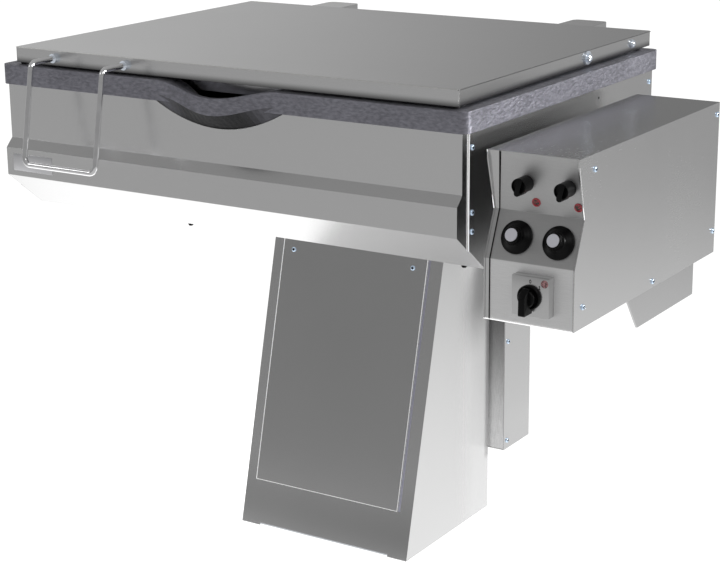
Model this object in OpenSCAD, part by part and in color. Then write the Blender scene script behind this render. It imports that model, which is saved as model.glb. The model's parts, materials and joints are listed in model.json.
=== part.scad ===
// Tilting bratt pan: a cast pan with a hinged lid on a raked pedestal,
// with a control box carried beside it on a cross beam.
// X runs to the right, Y to the rear and Z up, in millimetres.
// The origin is the middle of the floor bolt pattern, on the floor.

/* [Rim and pan] */
// Width over the cast rim
rim_w = 898; // [840:1:905]
// Depth over the cast rim
rim_d = 681; // [650:1:700]
// Height of the rim band
rim_h = 33; // [28:1:40]
// Radius of the rim's upright corners
rim_r = 14; // [8:1:20]
// Width of the rim from its outer edge to the mouth
rim_lap = 38; // [34:1:42]
// Depth from the rim's top to the cooking surface
pan_depth = 182; // [165:1:185]
// Thickness of the cooking floor
pan_floor_t = 14; // [10:1:14]
// Thickness of the pan's walls
pan_wall_t = 9; // [7:1:11]
// Radius of the mouth's upright corners
mouth_r = 45; // [35:1:60]
// Radius between the pan's walls and its floor
floor_r = 28; // [15:1:35]
// Distance of the rim's front edge ahead of the origin
rim_reach = 427; // [420:1:440]
// Thickness of the skirt that hangs from the rim and holds the panels
skirt_t = 4; // [3:0.5:5]
// Height of that skirt
skirt_h = 32; // [30:1:36]

/* [Pouring spout] */
// Width of the spout where it leaves the rim
spout_w = 248; // [200:2:280]
// How far the lip bows out of the rim
spout_bow = 18; // [12:1:26]
// How far the lip dips below the rim's top
spout_dip = 17; // [10:1:20]
// Height of the lip's band at its two ends
spout_band = 23; // [18:1:26]
// How far the spout's underside drops below the rim
spout_drop = 35; // [28:1:42]
// Thickness of the lip
lip_t = 9; // [7:1:12]

/* [Casing of the pan] */
// Thickness of the folded sheet
sheet_t = 2; // [1.5:0.5:2.5]
// Thickness of the side panels
side_t = 2.5; // [2:0.5:3]
// Set back of the front panel behind the rim
front_set = 5.7; // [4:0.1:8]
// Set back of the casing's sides inside the rim
side_set = 10.5; // [10:0.5:12]
// Height of the upright upper face
face_h = 92; // [80:1:100]
// How far the knee steps out
knee_out = 15; // [10:1:20]
// Height of the knee
knee_h = 15; // [12:1:22]
// Height of the lower band
band_h = 47; // [40:1:55]
// Height of the chamfer under the band
chamfer_h = 64; // [55:1:70]
// Depth of the chamfer under the band
chamfer_d = 82; // [70:1:95]
// Depth of the front panel's side returns
return_d = 20; // [16:1:26]
// Width of the flanges under the belly
flange_w = 24; // [18:1:30]

/* [Lid] */
// Step from the rim's side to the lid's
lid_step = 22.5; // [20:0.5:28]
// Depth of the lid
lid_d = 680; // [650:1:684]
// Height of the lid's skirt
lid_h = 25.5; // [22:0.5:32]
// Gap between the rim and the lid's skirt
lid_gap = 3.5; // [2.5:0.5:6]
// Set back of the lid's front behind the rim's
lid_set = 13.5; // [10:0.5:18]
// Thickness of the lid's sheet
lid_t = 2; // [1.5:0.5:2]
// Gap between the liner's skirt and the mouth
liner_gap = 8; // [6:0.5:12]
// Depth of the liner's skirt below the lid's
liner_drop = 22; // [14:1:26]

/* [Lid hinges] */
// Middle of the left hinge from the middle of the pan
hinge_left = 248.5; // [220:0.5:270]
// Middle of the right hinge from the middle of the pan
hinge_right = 281; // [250:0.5:300]
// Width of a hinge housing
hinge_w = 67; // [60:1:74]
// Depth of a hinge housing
hinge_d = 68; // [64:1:72]
// Height of a hinge housing
hinge_h = 54; // [52:1:58]
// Distance of the pin behind the lid
pin_back = 41; // [38:0.5:43]
// Distance of the pin below the lid's top
pin_down = 32; // [31:0.5:34]
// Diameter of the hinge pin
pin_d = 12; // [10:1:14]
// Width of the hinge bracket's eye
eye_w = 20; // [16:1:24]
// Wall around the pin in the bracket's eye
eye_wall = 8; // [6:0.5:9]
// Diameter of the spring's wire
spring_wire = 3; // [2:0.5:3]
// Turns of the hinge spring
spring_turns = 4; // [3:1:4]

/* [Lid handle] */
// Diameter of the handle's rod
rod_d = 9.5; // [8:0.5:11]
// Distance between the handle's two legs
handle_w = 150; // [120:1:200]
// Distance of the handle's outer leg from the middle of the pan
handle_x = 340.5; // [320:0.5:360]
// Reach of the handle in front of the lid
handle_reach = 59; // [54:1:70]
// Length of the handle's sloping legs
handle_leg = 166; // [130:1:180]
// Slope of the legs, forward from upright
handle_tilt = 10.5; // [4:0.5:14]
// Bend radius of the rod's middle line
rod_bend = 12; // [9:1:16]

/* [Pedestal] */
// Width of the pedestal
ped_w = 355; // [330:1:380]
// Depth of the pedestal at the floor
ped_d = 297; // [290:1:310]
// Height of the pedestal's casing
casing_h = 524; // [500:1:540]
// Rake of the pedestal's front from upright
rake = 13.94; // [12:0.02:14]
// Thickness of the base plate
base_t = 10; // [8:1:12]
// Distance between the floor bolts across
bolt_x = 300; // [260:1:305]
// Distance between the floor bolts from front to rear
bolt_y = 230; // [200:1:240]
// Diameter of the floor bolt holes
bolt_hole_d = 13; // [11:0.5:15]
// Left edge of the door from the middle
door_left = 157; // [140:1:160]
// Right edge of the door from the middle
door_right = 146.5; // [130:0.5:150]
// Height of the door's lower edge
door_low = 81; // [60:1:110]
// Strip of casing above the door
door_top = 6; // [5:0.5:12]
// Gap around the door
door_gap = 1; // [0.6:0.1:1.5]
// Width of the frame strips that the door lies on
door_lap = 14; // [11:0.5:18]
// Height of the arch in the front's lower edge
arch_h = 4; // [2:0.5:6]
// Half width of that arch
arch_x = 138; // [120:1:150]

/* [Bearings and tilt drive] */
// Height of the tilt axis above the pedestal's casing
axle_rise = 61; // [60:0.5:70]
// Distance of the tilt axis ahead of the origin
axle_fore = 27; // [20:0.5:34]
// Distance from the tilt axis up to the belly
belly_gap = 35; // [34:0.5:40]
// Diameter of the tilt shaft
shaft_d = 35; // [30:1:36]
// Thickness of a cheek plate
cheek_t = 10; // [8:1:12]
// Distance from the middle to a cheek's outer face
cheek_x = 100; // [95:1:105]
// Radius of the cheeks' round ends
cheek_r = 30; // [28:0.5:31]
// Wall of the bearing bush
bush_wall = 5; // [4:0.5:6]
// Thickness of the bush's flange
bush_flange = 4; // [3:0.5:5]
// Thickness of a tilt lug
lug_t = 12; // [10:1:14]
// Module of the gear teeth
gear_m = 4; // [3.8:0.1:4.2]
// Teeth on the full circle of the gear segment
wheel_teeth = 26; // [24:1:26]
// Teeth on the pinion
pinion_teeth = 13; // [13:1:13]
// Width of the gear segment's teeth
gear_w = 24; // [18:1:30]
// Left face of the gear segment from the middle
gear_x = 20; // [14:1:26]
// Direction of the pinion below the rear horizontal
mesh_angle = 50; // [46:1:54]
// Largest tilt of the pan
tilt_max = 80; // [70:1:80]
// Thinning of each tooth for backlash
backlash = 0.5; // [0.4:0.05:0.7]
// Width of the gearbox
gearbox_w = 80; // [70:1:86]
// Side of the gearbox's square body
gearbox_s = 84; // [80:1:88]
// Diameter of the drive motor
motor_d = 78; // [70:1:84]
// Length of the drive motor
motor_l = 190; // [150:1:220]

/* [Service housing and beam] */
// Width of the service housing
house_w = 422; // [400:1:440]
// Depth of the service housing
house_d = 100; // [95:1:110]
// Height of the service housing's lower edge
house_low = 118; // [90:1:140]
// Height of the service housing above the pedestal
house_rise = 46; // [40:1:48]
// Depth of the cross beam
beam_d = 80; // [70:1:84]
// Height of the cross beam
beam_h = 60; // [50:1:62]
// Wall of the cross beam
beam_t = 4; // [3:0.5:5]
// Distance from the beam's top to the control box
beam_drop = 24.5; // [20:0.5:28]
// Length of beam to the left of the middle
beam_left = 150; // [130:1:170]

/* [Control box] */
// Gap between the side panel and the control box
box_gap = 33; // [28:0.5:40]
// Width of the control box
box_w = 147; // [140:1:160]
// Height of the control box
box_h = 252.5; // [240:0.5:260]
// Depth of the control box's top
box_d = 519; // [480:1:540]
// Distance of the box's top below the rim's top
box_down = 54; // [48:0.5:60]
// Set back of the box's top edge behind the rim
box_set = 17; // [12:0.5:24]
// Height of the fascia's top section
top_h = 91; // [84:0.5:96]
// Set back of the first fold behind the top edge
top_back = 22; // [16:0.5:28]
// Height of the fascia's middle section
mid_h = 69; // [62:0.5:74]
// How far the second fold comes forward again
mid_fore = 29; // [24:0.5:34]
// How far the side plates stand proud of the fascia
plate_proud = 1.5; // [1:0.25:2.5]
// Height of the upright lip on the side plates
plate_lip = 13; // [8:0.5:16]
// Width of the inner cover's front strip at the top
strip_top = 21.5; // [18:0.5:26]
// Width of the inner cover's front strip below the first fold
strip_low = 9; // [7:0.5:12]
// Gap between that strip and the fascia
strip_gap = 1.6; // [1:0.2:2.4]
// Reach of the bracket flanges below the box
bracket_h = 67; // [60:1:72]
// Set back of the bracket's flange behind the box's front
bracket_set = 212; // [190:1:240]
// Length of the bracket's outer flange
bracket_l = 271; // [240:1:280]
// Slope of the bracket flange's front end
bracket_slope = 50; // [40:1:60]
// Distance of the bracket's flange inside the box's outer side
bracket_in = 20; // [14:1:26]
// Thickness of the bracket's plate
bracket_t = 3; // [2.5:0.5:4]

/* [Knobs and lamps] */
// First knob's place from the box's inner side
knob_x = 60.4; // [54:0.2:62]
// Distance between the two knobs of a row
knob_pitch = 67.4; // [62:0.2:70]
// Place of the zone knobs down the top section
zone_s = 46; // [40:0.5:50]
// Radius of a zone knob
zone_r = 11.5; // [10:0.5:13]
// Length of a zone knob
zone_l = 26; // [22:0.5:30]
// Radius of a thermostat knob's skirt
thermo_r = 25; // [22:0.5:27]
// Height of a thermostat knob
thermo_h = 21; // [18:0.5:24]
// First thermostat knob's place from the box's inner side
thermo_x = 46.4; // [44:0.2:50]
// Radius of a thermostat knob's cap
cap_r = 9.8; // [8:0.2:10.4]
// Radius of a pilot lamp
lamp_r = 6.5; // [5:0.5:7]
// Place of the pilot lamps down the top section
lamp_s = 76; // [72:0.5:80]
// First pilot lamp's place from the box's inner side
lamp_x = 71; // [68:0.2:72]
// Side of the main switch's plate
plate_s = 60; // [54:1:64]
// Thickness of the main switch's plate
plate_h = 17; // [14:0.5:20]
// Height of the main switch above the box's underside
switch_z = 49; // [44:0.5:50]
// Radius of the main switch knob
switch_r = 18.5; // [16:0.5:20]
// Radius of a knob's spindle
spindle_r = 3; // [2.5:0.25:3.5]

/* [Heating] */
// Diameter of a heating rod
element_d = 8.5; // [6.5:0.5:8.5]
// Distance between the two legs of a heating rod
element_pitch = 26; // [22:1:30]
// Distance between neighbouring heating rods
element_step = 65; // [60:1:66]
// Heating rods on each side
element_n = 4; // [2:1:4]
// Height of the frame rails under the pan
rail_h = 30; // [24:1:32]
// Width of a frame rail
rail_w = 30; // [24:1:34]
// Thickness of the insulation mat
mat_t = 26; // [18:1:28]

/* [Hidden] */

// Clearances that several pieces share
fit = 0.05;
seat = 0.2;
knob_lift = 0.4;
slot_gap = 1;
cut = 1;

// Facets of turned and rounded forms
$fn = 48;
screw_fn = 20;

// Heights, from the floor up
axle_z = casing_h + axle_rise;
belly_z = axle_z + belly_gap;
rim_low = belly_z + chamfer_h + band_h + knee_h + face_h;
rim_top = rim_low + rim_h;
pan_under = rim_top - pan_depth - pan_floor_t;
lid_low = rim_top + lid_gap;
lid_top = lid_low + lid_h;

// Places from front to rear
rim_front = -rim_reach;
lid_w = rim_w - 2 * lid_step;
rim_rear = rim_front + rim_d;
axle_y = -axle_fore;
lid_front = rim_front + lid_set;
lid_rear = lid_front + lid_d;
panel_front = rim_front + front_set;
knee_front = panel_front - knee_out;
belly_front = knee_front + chamfer_d;
panel_rear = rim_rear - 9;
mouth_front = rim_front + rim_lap;
mouth_rear = rim_rear - rim_lap;

// Widths
side_x = rim_w / 2 - side_set;
mouth_x = rim_w / 2 - rim_lap;

// Outline of the front panel, from under the rim to the belly's flange
front_line = [
  [panel_front, rim_low],
  [panel_front, rim_low - face_h],
  [knee_front, rim_low - face_h - knee_h],
  [knee_front, belly_z + chamfer_h],
  [belly_front, belly_z],
  [belly_front + flange_w, belly_z]
];

// Front and rear of the pedestal's casing
ped_rear = ped_d / 2;
rake_t = sheet_t / cos(rake);
function ped_front(z) = -ped_d / 2 + z * tan(rake);

// Service housing and beam
house_front = ped_rear;
house_rear = house_front + house_d;
house_top = casing_h + house_rise;
beam_front = house_front + sheet_t;
box_x0 = side_x + side_t + box_gap;
box_x1 = box_x0 + box_w;
box_top = rim_top - box_down;
box_low = box_top - box_h;
beam_top = box_low - beam_drop;
beam_low = beam_top - beam_h;
beam_end_t = 6;
beam_right = box_x0 + 4;

// Outline of the control box's front, from its top edge down
box_front = rim_front + box_set;
box_rear = box_front + box_d;
box_line = [
  [box_front, box_top],
  [box_front + top_back, box_top - top_h],
  [box_front + top_back - mid_fore, box_top - top_h - mid_h],
  [box_front + top_back - mid_fore, box_low]
];

// Gear train
wheel_r = gear_m * wheel_teeth / 2;
pinion_r = gear_m * pinion_teeth / 2;
gear_gap = wheel_r + pinion_r;
pinion_y = axle_y + gear_gap * cos(mesh_angle);
pinion_z = axle_z - gear_gap * sin(mesh_angle);
pinion_shaft_r = 10;
gearbox_left = -cheek_x + cheek_t;
gearbox_right = gearbox_left + gearbox_w;

// Bushes, lugs and shaft, from the middle outwards
bush_r = shaft_d / 2 + fit + bush_wall;
lug_in = cheek_x + bush_flange + 0.5;
lug_out = lug_in + lug_t;
collar_t = 10;
shaft_half = lug_out + seat + collar_t + 2;
collar_r = shaft_d / 2 + 10;
rail_x = (lug_in + lug_out) / 2;
rail_low = pan_under - rail_h;
rail_front = mouth_front + 24;
rail_rear = mouth_rear + 6;
lug_foot = 60;

// Lid hinge
hinge_xs = [-hinge_left, hinge_right];
pin_y = lid_rear + pin_back;
pin_z = lid_top - pin_down;
pin_r = pin_d / 2;
housing_t = 3;
eye_r = pin_r + eye_wall;
arm_h = 15;

// Screw places on the pan's sides, each as depth and height
edge_y = panel_front + return_d + 5;
side_screws = [
  [edge_y, rim_low - 24],
  [edge_y, rim_low - face_h - knee_h - 15],
  [edge_y, belly_z + chamfer_h + 3],
  [panel_rear - 12, rim_low - 21]
];
// Bare holes in the pan's sides
side_holes = [
  [panel_front + rim_d * 0.262, rim_low - 18],
  [panel_front + rim_d * 0.664, rim_low - 18]
];
skirt_x = side_x - sheet_t;
belly_screws = [-119, side_x - 37];
belly_screw_y = belly_front + 7;

// Lid bolts along both sides, from the lid's front
lid_bolt_ys = [lid_front + lid_d * 0.628, lid_front + lid_d * 0.884];
lid_bolt_z = lid_top - 12.5;
lid_bar_t = 5;

// Screws of the control box's outer side, each as depth and height
box_screws = [
  [box_front + 51, box_top - 23],
  [box_front + 20, box_low + 32],
  [box_front + 269, box_low + 10],
  [box_rear - 9, box_low + 38],
  [box_rear - 10, box_top - 19]
];

// Screws of the service housing's sides
house_screw_y = house_front + 12;
house_screw_zs = [house_low + 16, house_low + 209, beam_low - 24];

// Head and shank of the casing screws
screw_head_r = 4.5;
screw_head_h = 2.6;
screw_r = 2.1;

// Direction of a step as a unit vector, and the same turned a quarter left
function unit(v) = v / norm(v);
function left(v) = [-v[1], v[0]];

// A line moved sideways by t, mitred at its corners
function inset(p, t) = [
  for (i = [0 : len(p) - 1])
    let (
      last = len(p) - 1,
      a = left(unit(i > 0 ? p[i] - p[i - 1] : p[1] - p[0])),
      b = left(unit(i < last ? p[i + 1] - p[i] : p[last] - p[last - 1]))
    )
    p[i] + t * (a + b) / (1 + a * b)
];

function reversed(p) = [for (i = [len(p) - 1 : -1 : 0]) p[i]];
function shifted(p, d) = [for (q = p) q + d];

// Part of a line between two of its points
function part_of(p, a, b) = [for (i = [a : b]) p[i]];

// Extrudes an outline of depth and height from x0 to x1
module along_x(x0, x1) {
  translate([x0, 0, 0]) rotate([90, 0, 90]) linear_extrude(height = x1 - x0) children();
}

// A folded sheet that follows a line of depth and height
module folded_sheet(line, t, x0, x1) {
  along_x(x0, x1) polygon(concat(line, reversed(inset(line, t))));
}

// A box between two corners
module block(a, b) {
  translate(a) cube(b - a);
}

// A rectangle with round corners, from exact arcs
module round_rect(x0, x1, y0, y1, r) {
  translate([x0 + r, y0]) square([x1 - x0 - 2 * r, y1 - y0]);
  translate([x0, y0 + r]) square([x1 - x0, y1 - y0 - 2 * r]);
  for (x = [x0 + r, x1 - r])
    for (y = [y0 + r, y1 - r])
      translate([x, y]) circle(r = r);
}

// A round bar along X
module bar_x(x0, x1, y, z, r) {
  translate([x0, y, z]) rotate([0, 90, 0]) cylinder(r = r, h = x1 - x0);
}

// A round bar along Y
module bar_y(y0, y1, x, z, r) {
  translate([x, y0, z]) rotate([-90, 0, 0]) cylinder(r = r, h = y1 - y0);
}

// A dome headed screw: its head stands on z = 0 and its shank hangs below
module screw(head_r = screw_head_r, head_h = screw_head_h, r = screw_r, l = 4) {
  rotate_extrude($fn = screw_fn)
    polygon([
      [0, -l], [r, -l], [r, 0], [head_r, 0], [head_r, head_h * 0.35],
      [head_r * 0.82, head_h * 0.78], [head_r * 0.4, head_h], [0, head_h]
    ]);
}

// A hexagon bolt, standing and hanging in the same way
module hex_bolt(af = 13, head_h = 5.5, r = 4, l = 12) {
  cylinder(r = af / 2 / cos(30), h = head_h, $fn = 6);
  translate([0, 0, -l]) cylinder(r = r, h = l, $fn = screw_fn);
}

// Turns +Z to point left, right, rearwards or down
module face_left() {
  rotate([0, -90, 0]) children();
}
module face_right() {
  rotate([0, 90, 0]) children();
}
module face_rear() {
  rotate([-90, 0, 0]) children();
}
module face_down() {
  rotate([180, 0, 0]) children();
}

// Stands children on the raked front, with +Z out of it
module on_rake(x, z) {
  translate([x, ped_front(z), z]) rotate([90 - rake, 0, 0]) children();
}

// Stands children on a stretch of the box's front, s along it, +Z out of it or level
module on_fascia(i, s, x, level = false) {
  step = unit(box_line[i + 1] - box_line[i]);
  out = -left(step);
  at = box_line[i] + s * step;
  translate([x, at[0], at[1]]) rotate([level ? 90 : atan2(-out[0], out[1]), 0, 0]) children();
}

// A closed skin over a row of equal sections
module loft(sections) {
  n = len(sections);
  m = len(sections[0]);
  sides = [
    for (i = [0 : n - 2])
      for (j = [0 : m - 1])
        let (a = i * m + j, b = i * m + (j + 1) % m)
        each [[a, b, b + m], [a, b + m, a + m]]
  ];
  polyhedron(
    points = [for (s = sections) each s],
    faces = concat(
      sides,
      [[for (j = [m - 1 : -1 : 0]) j]],
      [[for (j = [0 : m - 1]) (n - 1) * m + j]]
    )
  );
}

// Pouring spout: how far it has swelled at x, 0 at its ends and 1 in the middle
spout_half = spout_w / 2;
spout_steps = 24;
spout_xs = [for (i = [0 : spout_steps]) spout_half * (2 * i / spout_steps - 1)];
function swell(x) = pow(cos(90 * x / spout_half), 2);
function trace(x) = rim_low - spout_drop * (1 - pow(x / spout_half, 2));
function lip_y(x) = rim_front + 0.3 - (spout_bow + 0.3) * swell(x);

module spout_body() {
  inner = mouth_front - pan_wall_t / 2;
  loft([
    for (x = spout_xs)
      let (g = swell(x))
      [
        [x, inner, rim_top - 0.6],
        [x, lip_y(x), rim_top - 0.6],
        [x, lip_y(x), rim_top - spout_band - (spout_dip + 4) * g],
        [x, panel_front + 0.4, trace(x) + 0.4],
        [x, inner, trace(x) + 0.4]
      ]
  ]);
}

// The cut that dips the lip's top edge
module spout_dip_cut() {
  loft([
    for (x = spout_xs)
      let (z = rim_top + 0.4 - (spout_dip + 0.4) * swell(x))
      [
        [x, mouth_front + cut, rim_top + 3],
        [x, rim_front - spout_bow - cut, rim_top + 3],
        [x, rim_front - spout_bow - cut, z],
        [x, mouth_front + cut, z]
      ]
  ]);
}

// The channel that leads down from the lip to the pan
module spout_channel() {
  loft([
    for (k = spout_xs)
      let (x = k * (1 - lip_t / spout_half), g = swell(k), front = lip_y(x) + lip_t)
      [
        [x, mouth_front + 2 * cut, rim_top + 2],
        [x, front, rim_top + 2],
        [x, front, rim_top + 0.6 - (spout_dip + 7) * g],
        [x, mouth_front + 2 * cut, rim_top + 0.6 - (spout_dip + 40) * g]
      ]
  ]);
}

// Involute tooth outlines
pressure = 20;
addendum = 0.8;
dedendum = 1.15;
flank_steps = 4;
function involute(a) = tan(a) - a * PI / 180;
function half_tooth(teeth, r) =
  let (
    pitch_r = gear_m * teeth / 2,
    base_r = pitch_r * cos(pressure),
    a = acos(min(1, base_r / r)),
    thick = (PI * gear_m / 2 - backlash) / (gear_m * teeth)
  )
  (thick + involute(pressure) - involute(a)) * 180 / PI;

// One tooth, centred on a direction, from root to tip and back
function tooth(teeth, dir) =
  let (
    pitch_r = gear_m * teeth / 2,
    root_r = pitch_r - dedendum * gear_m,
    tip_r = pitch_r + addendum * gear_m,
    start_r = max(root_r + 0.01, pitch_r * cos(pressure)),
    flank = [
      for (k = [0 : flank_steps])
        let (r = start_r + (tip_r - start_r) * k / flank_steps)
        [r, half_tooth(teeth, r)]
    ],
    rise = concat([[root_r, flank[0][1]]], flank),
    n = len(rise)
  )
  concat(
    [for (k = [0 : n - 1]) rise[k][0] * [cos(dir - rise[k][1]), sin(dir - rise[k][1])]],
    [for (k = [n - 1 : -1 : 0]) rise[k][0] * [cos(dir + rise[k][1]), sin(dir + rise[k][1])]]
  );

// Teeth of the segment that pass the pinion over the whole tilt, with two spare
wheel_step = 360 / wheel_teeth;
teeth_back = 2;
teeth_fore = ceil(tilt_max / wheel_step) + 2;

module base_plate() {
  color("dimgray")
    difference() {
      block(
        [-ped_w / 2 + sheet_t, ped_front(base_t) + rake_t, 0],
        [ped_w / 2 - sheet_t, ped_rear - sheet_t, base_t]
      );
      for (x = [-bolt_x / 2, bolt_x / 2])
        for (y = [-bolt_y / 2, bolt_y / 2])
          translate([x, y, -cut]) cylinder(d = bolt_hole_d, h = base_t + 2 * cut);
    }
}

// Strip of the raked front between two heights, lying "back" behind its face
module rake_strip(x0, x1, z0, z1, back, t = rake_t) {
  along_x(x0, x1)
    polygon([
      [ped_front(z0) + back, z0], [ped_front(z0) + back + t, z0],
      [ped_front(z1) + back + t, z1], [ped_front(z1) + back, z1]
    ]);
}

door_high = casing_h - door_top;
door_screw_z = door_high - 20;
door_screws = [-door_left + 23, door_right - 28];

// Places of the bolts that hold the beam, the rear housing and the cheeks together
beam_bolt_x = cheek_x + 15;
beam_bolt_zs = [beam_low + 14, min(beam_top - 14, casing_h - 14)];
beam_bolt_r = 5;

module beam_bolt_holes(y0, y1) {
  for (x = [-beam_bolt_x, beam_bolt_x])
    for (z = beam_bolt_zs)
      bar_y(y0, y1, x, z, beam_bolt_r + fit);
}

module pedestal_casing() {
  half = ped_w / 2;
  opening_x = cheek_x + bush_flange;
  color("lightgray")
    difference() {
      union() {
        for (x = [-half, half - sheet_t])
          along_x(x, x + sheet_t)
            polygon([
              [ped_front(0), 0],
              [ped_rear, 0],
              [ped_rear, casing_h],
              [ped_front(casing_h), casing_h]
            ]);
        block([-half, ped_rear - sheet_t, 0], [half, ped_rear, casing_h]);
        block([-half, ped_front(casing_h), casing_h - sheet_t], [half, ped_rear, casing_h]);
        rake_strip(-half, half, 0, casing_h, 0);
        rake_strip(
          -door_left - door_lap, door_right + door_lap,
          door_low - door_lap, casing_h, rake_t
        );
      }
      block(
        [-opening_x, opening_front, casing_h - 2 * sheet_t],
        [opening_x, ped_rear - 40, casing_h + cut]
      );
      rake_strip(
        -door_left - door_gap, door_right + door_gap,
        door_low - door_gap, door_high + door_gap, -cut, rake_t + cut
      );
      rake_strip(
        -door_left + door_lap, door_right - door_lap,
        door_low + door_lap, door_high - 2 * door_lap, rake_t
      );
      block([-arch_x, ped_front(0) - cut, -cut], [arch_x, ped_front(0) + 3 * rake_t, arch_h]);
      for (x = door_screws)
        on_rake(x, door_screw_z) translate([0, 0, -3 * sheet_t])
            cylinder(r = screw_r + fit, h = 4 * sheet_t, $fn = screw_fn);
      beam_bolt_holes(ped_rear - sheet_t - cut, ped_rear + cut);
    }
}

module pedestal_door() {
  color("gainsboro")
    difference() {
      rake_strip(-door_left, door_right, door_low, door_high, 0);
      for (x = door_screws)
        on_rake(x, door_screw_z) translate([0, 0, -2 * sheet_t])
            cylinder(r = screw_r + fit, h = 3 * sheet_t, $fn = screw_fn);
    }
}

// Side outline of a cheek: a post that leans forward to the tilt axis
opening_front = ped_front(casing_h) + 3 * rake_t;
module cheek_outline() {
  neck_z = casing_h + 2;
  difference() {
    union() {
      polygon([
        [ped_front(base_t) + 10, base_t],
        [ped_rear - sheet_t, base_t],
        [ped_rear - sheet_t, beam_low - 12],
        [ped_rear - 60, neck_z],
        [ped_rear - 60, axle_z - 20],
        [axle_y + cheek_r * cos(60), axle_z + cheek_r * sin(60)],
        [axle_y + cheek_r * cos(200), axle_z + cheek_r * sin(200)],
        [opening_front + 1, neck_z]
      ]);
      translate([axle_y, axle_z]) circle(r = cheek_r);
    }
    translate([axle_y, axle_z]) circle(r = bush_r);
  }
}

tie_bar_r = 10;
tie_bars = [[-60, 110], [95, 110], [100, 400]];
gearbox_y = opening_front + 1.5 + gearbox_s / 2;
gearbox_z = pinion_z - 6;
gearbox_bolt = gearbox_s / 2 - 11;

module bearing_cheeks() {
  color("slategray")
    for (s = [-1, 1])
      difference() {
        union() {
          along_x(s > 0 ? cheek_x - cheek_t : -cheek_x, s > 0 ? cheek_x : cheek_t - cheek_x)
            cheek_outline();
          block(
            [s > 0 ? cheek_x - cheek_t : -cheek_x - 30, ped_rear - sheet_t - cheek_t, base_t],
            [s > 0 ? cheek_x + 30 : cheek_t - cheek_x, ped_rear - sheet_t, casing_h - sheet_t - 2]
          );
        }
        bar_x(cheek_x - cheek_t - cut, cheek_x + cut, pinion_y, pinion_z, pinion_shaft_r + fit);
        for (a = [-1, 1])
          for (b = [-1, 1])
            bar_x(
              -cheek_x - cut, -cheek_x + cheek_t + cut,
              gearbox_y + a * gearbox_bolt, gearbox_z + b * gearbox_bolt, 4 + fit
            );
        beam_bolt_holes(ped_rear - sheet_t - cheek_t - cut, ped_rear);
      }
}

module cheek_tie_bars() {
  color("silver")
    for (p = tie_bars)
      bar_x(-cheek_x + cheek_t, cheek_x - cheek_t, p[0], p[1], tie_bar_r);
}

module bearing_bushes() {
  color("darkgoldenrod")
    for (s = [-1, 1])
      scale([s, 1, 1])
        difference() {
          union() {
            bar_x(cheek_x - cheek_t, cheek_x, axle_y, axle_z, bush_r - fit);
            bar_x(cheek_x, cheek_x + bush_flange, axle_y, axle_z, bush_r + 5);
          }
          bar_x(
            cheek_x - cheek_t - cut, cheek_x + bush_flange + cut,
            axle_y, axle_z, shaft_d / 2 + fit
          );
        }
}

module gearbox() {
  half = gearbox_s / 2;
  boss_r = pinion_shaft_r + 14;
  color("steelblue")
    difference() {
      union() {
        translate([gearbox_left, 0, 0]) rotate([90, 0, 90])
            linear_extrude(height = gearbox_w - 6)
              round_rect(gearbox_y - half, gearbox_y + half, gearbox_z - half, gearbox_z + half, 10);
        bar_x(gearbox_right - 8, gearbox_right, pinion_y, pinion_z, boss_r);
        for (k = [1 : 4])
          translate([motor_x, gearbox_y, gearbox_z - half - 3 * k])
            cylinder(r = motor_d / 2 - 4 - 2 * k, h = 3.5);
      }
      bar_x(gearbox_right - 24, gearbox_right + cut, pinion_y, pinion_z, pinion_shaft_r + fit);
      for (a = [-1, 1])
        for (b = [-1, 1])
          bar_x(
            gearbox_left - cut, gearbox_left + 14,
            gearbox_y + a * gearbox_bolt, gearbox_z + b * gearbox_bolt, 4 + fit
          );
    }
}

motor_top = gearbox_z - gearbox_s / 2 - 12;
motor_x = gearbox_left + motor_d / 2 + 1;

module drive_motor() {
  ribs = 20;
  color("darkslategray")
    translate([motor_x, gearbox_y, motor_top - motor_l]) {
      translate([0, 0, 24]) cylinder(r = motor_d / 2 - 4, h = motor_l - 24);
      cylinder(r = motor_d / 2, h = 24);
      translate([0, 0, motor_l - 10]) cylinder(r = motor_d / 2, h = 10);
      for (a = [0 : 360 / ribs : 359])
        rotate([0, 0, a]) translate([motor_d / 2 - 5, -1, 24]) cube([4, 2, motor_l - 34]);
    }
}

beam_bolt_l = ped_rear + beam_d + sheet_t - (ped_rear - sheet_t - cheek_t);

module frame_bolts() {
  color("silver") {
    for (x = [-beam_bolt_x, beam_bolt_x])
      for (z = beam_bolt_zs)
        translate([x, beam_front + beam_d, z]) face_rear()
            hex_bolt(af = 16, head_h = 6.4, r = beam_bolt_r, l = beam_bolt_l);
    for (a = [-1, 1])
      for (b = [-1, 1])
        translate([-cheek_x, gearbox_y + a * gearbox_bolt, gearbox_z + b * gearbox_bolt])
          face_left() hex_bolt(r = 4, l = cheek_t + 12);
    for (y = bracket_bolt_ys)
      for (z = bracket_bolt_zs)
        translate([bracket_x0 + bracket_t, y, z]) face_right()
            hex_bolt(r = 4, l = bracket_t + beam_end_t);
  }
}

bracket_x0 = beam_right;
bracket_x1 = box_x1 - bracket_in;
bracket_bolt_ys = [beam_front + 20, beam_front + beam_d - 20];
bracket_bolt_zs = [beam_low + 15, beam_top - 15];

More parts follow.
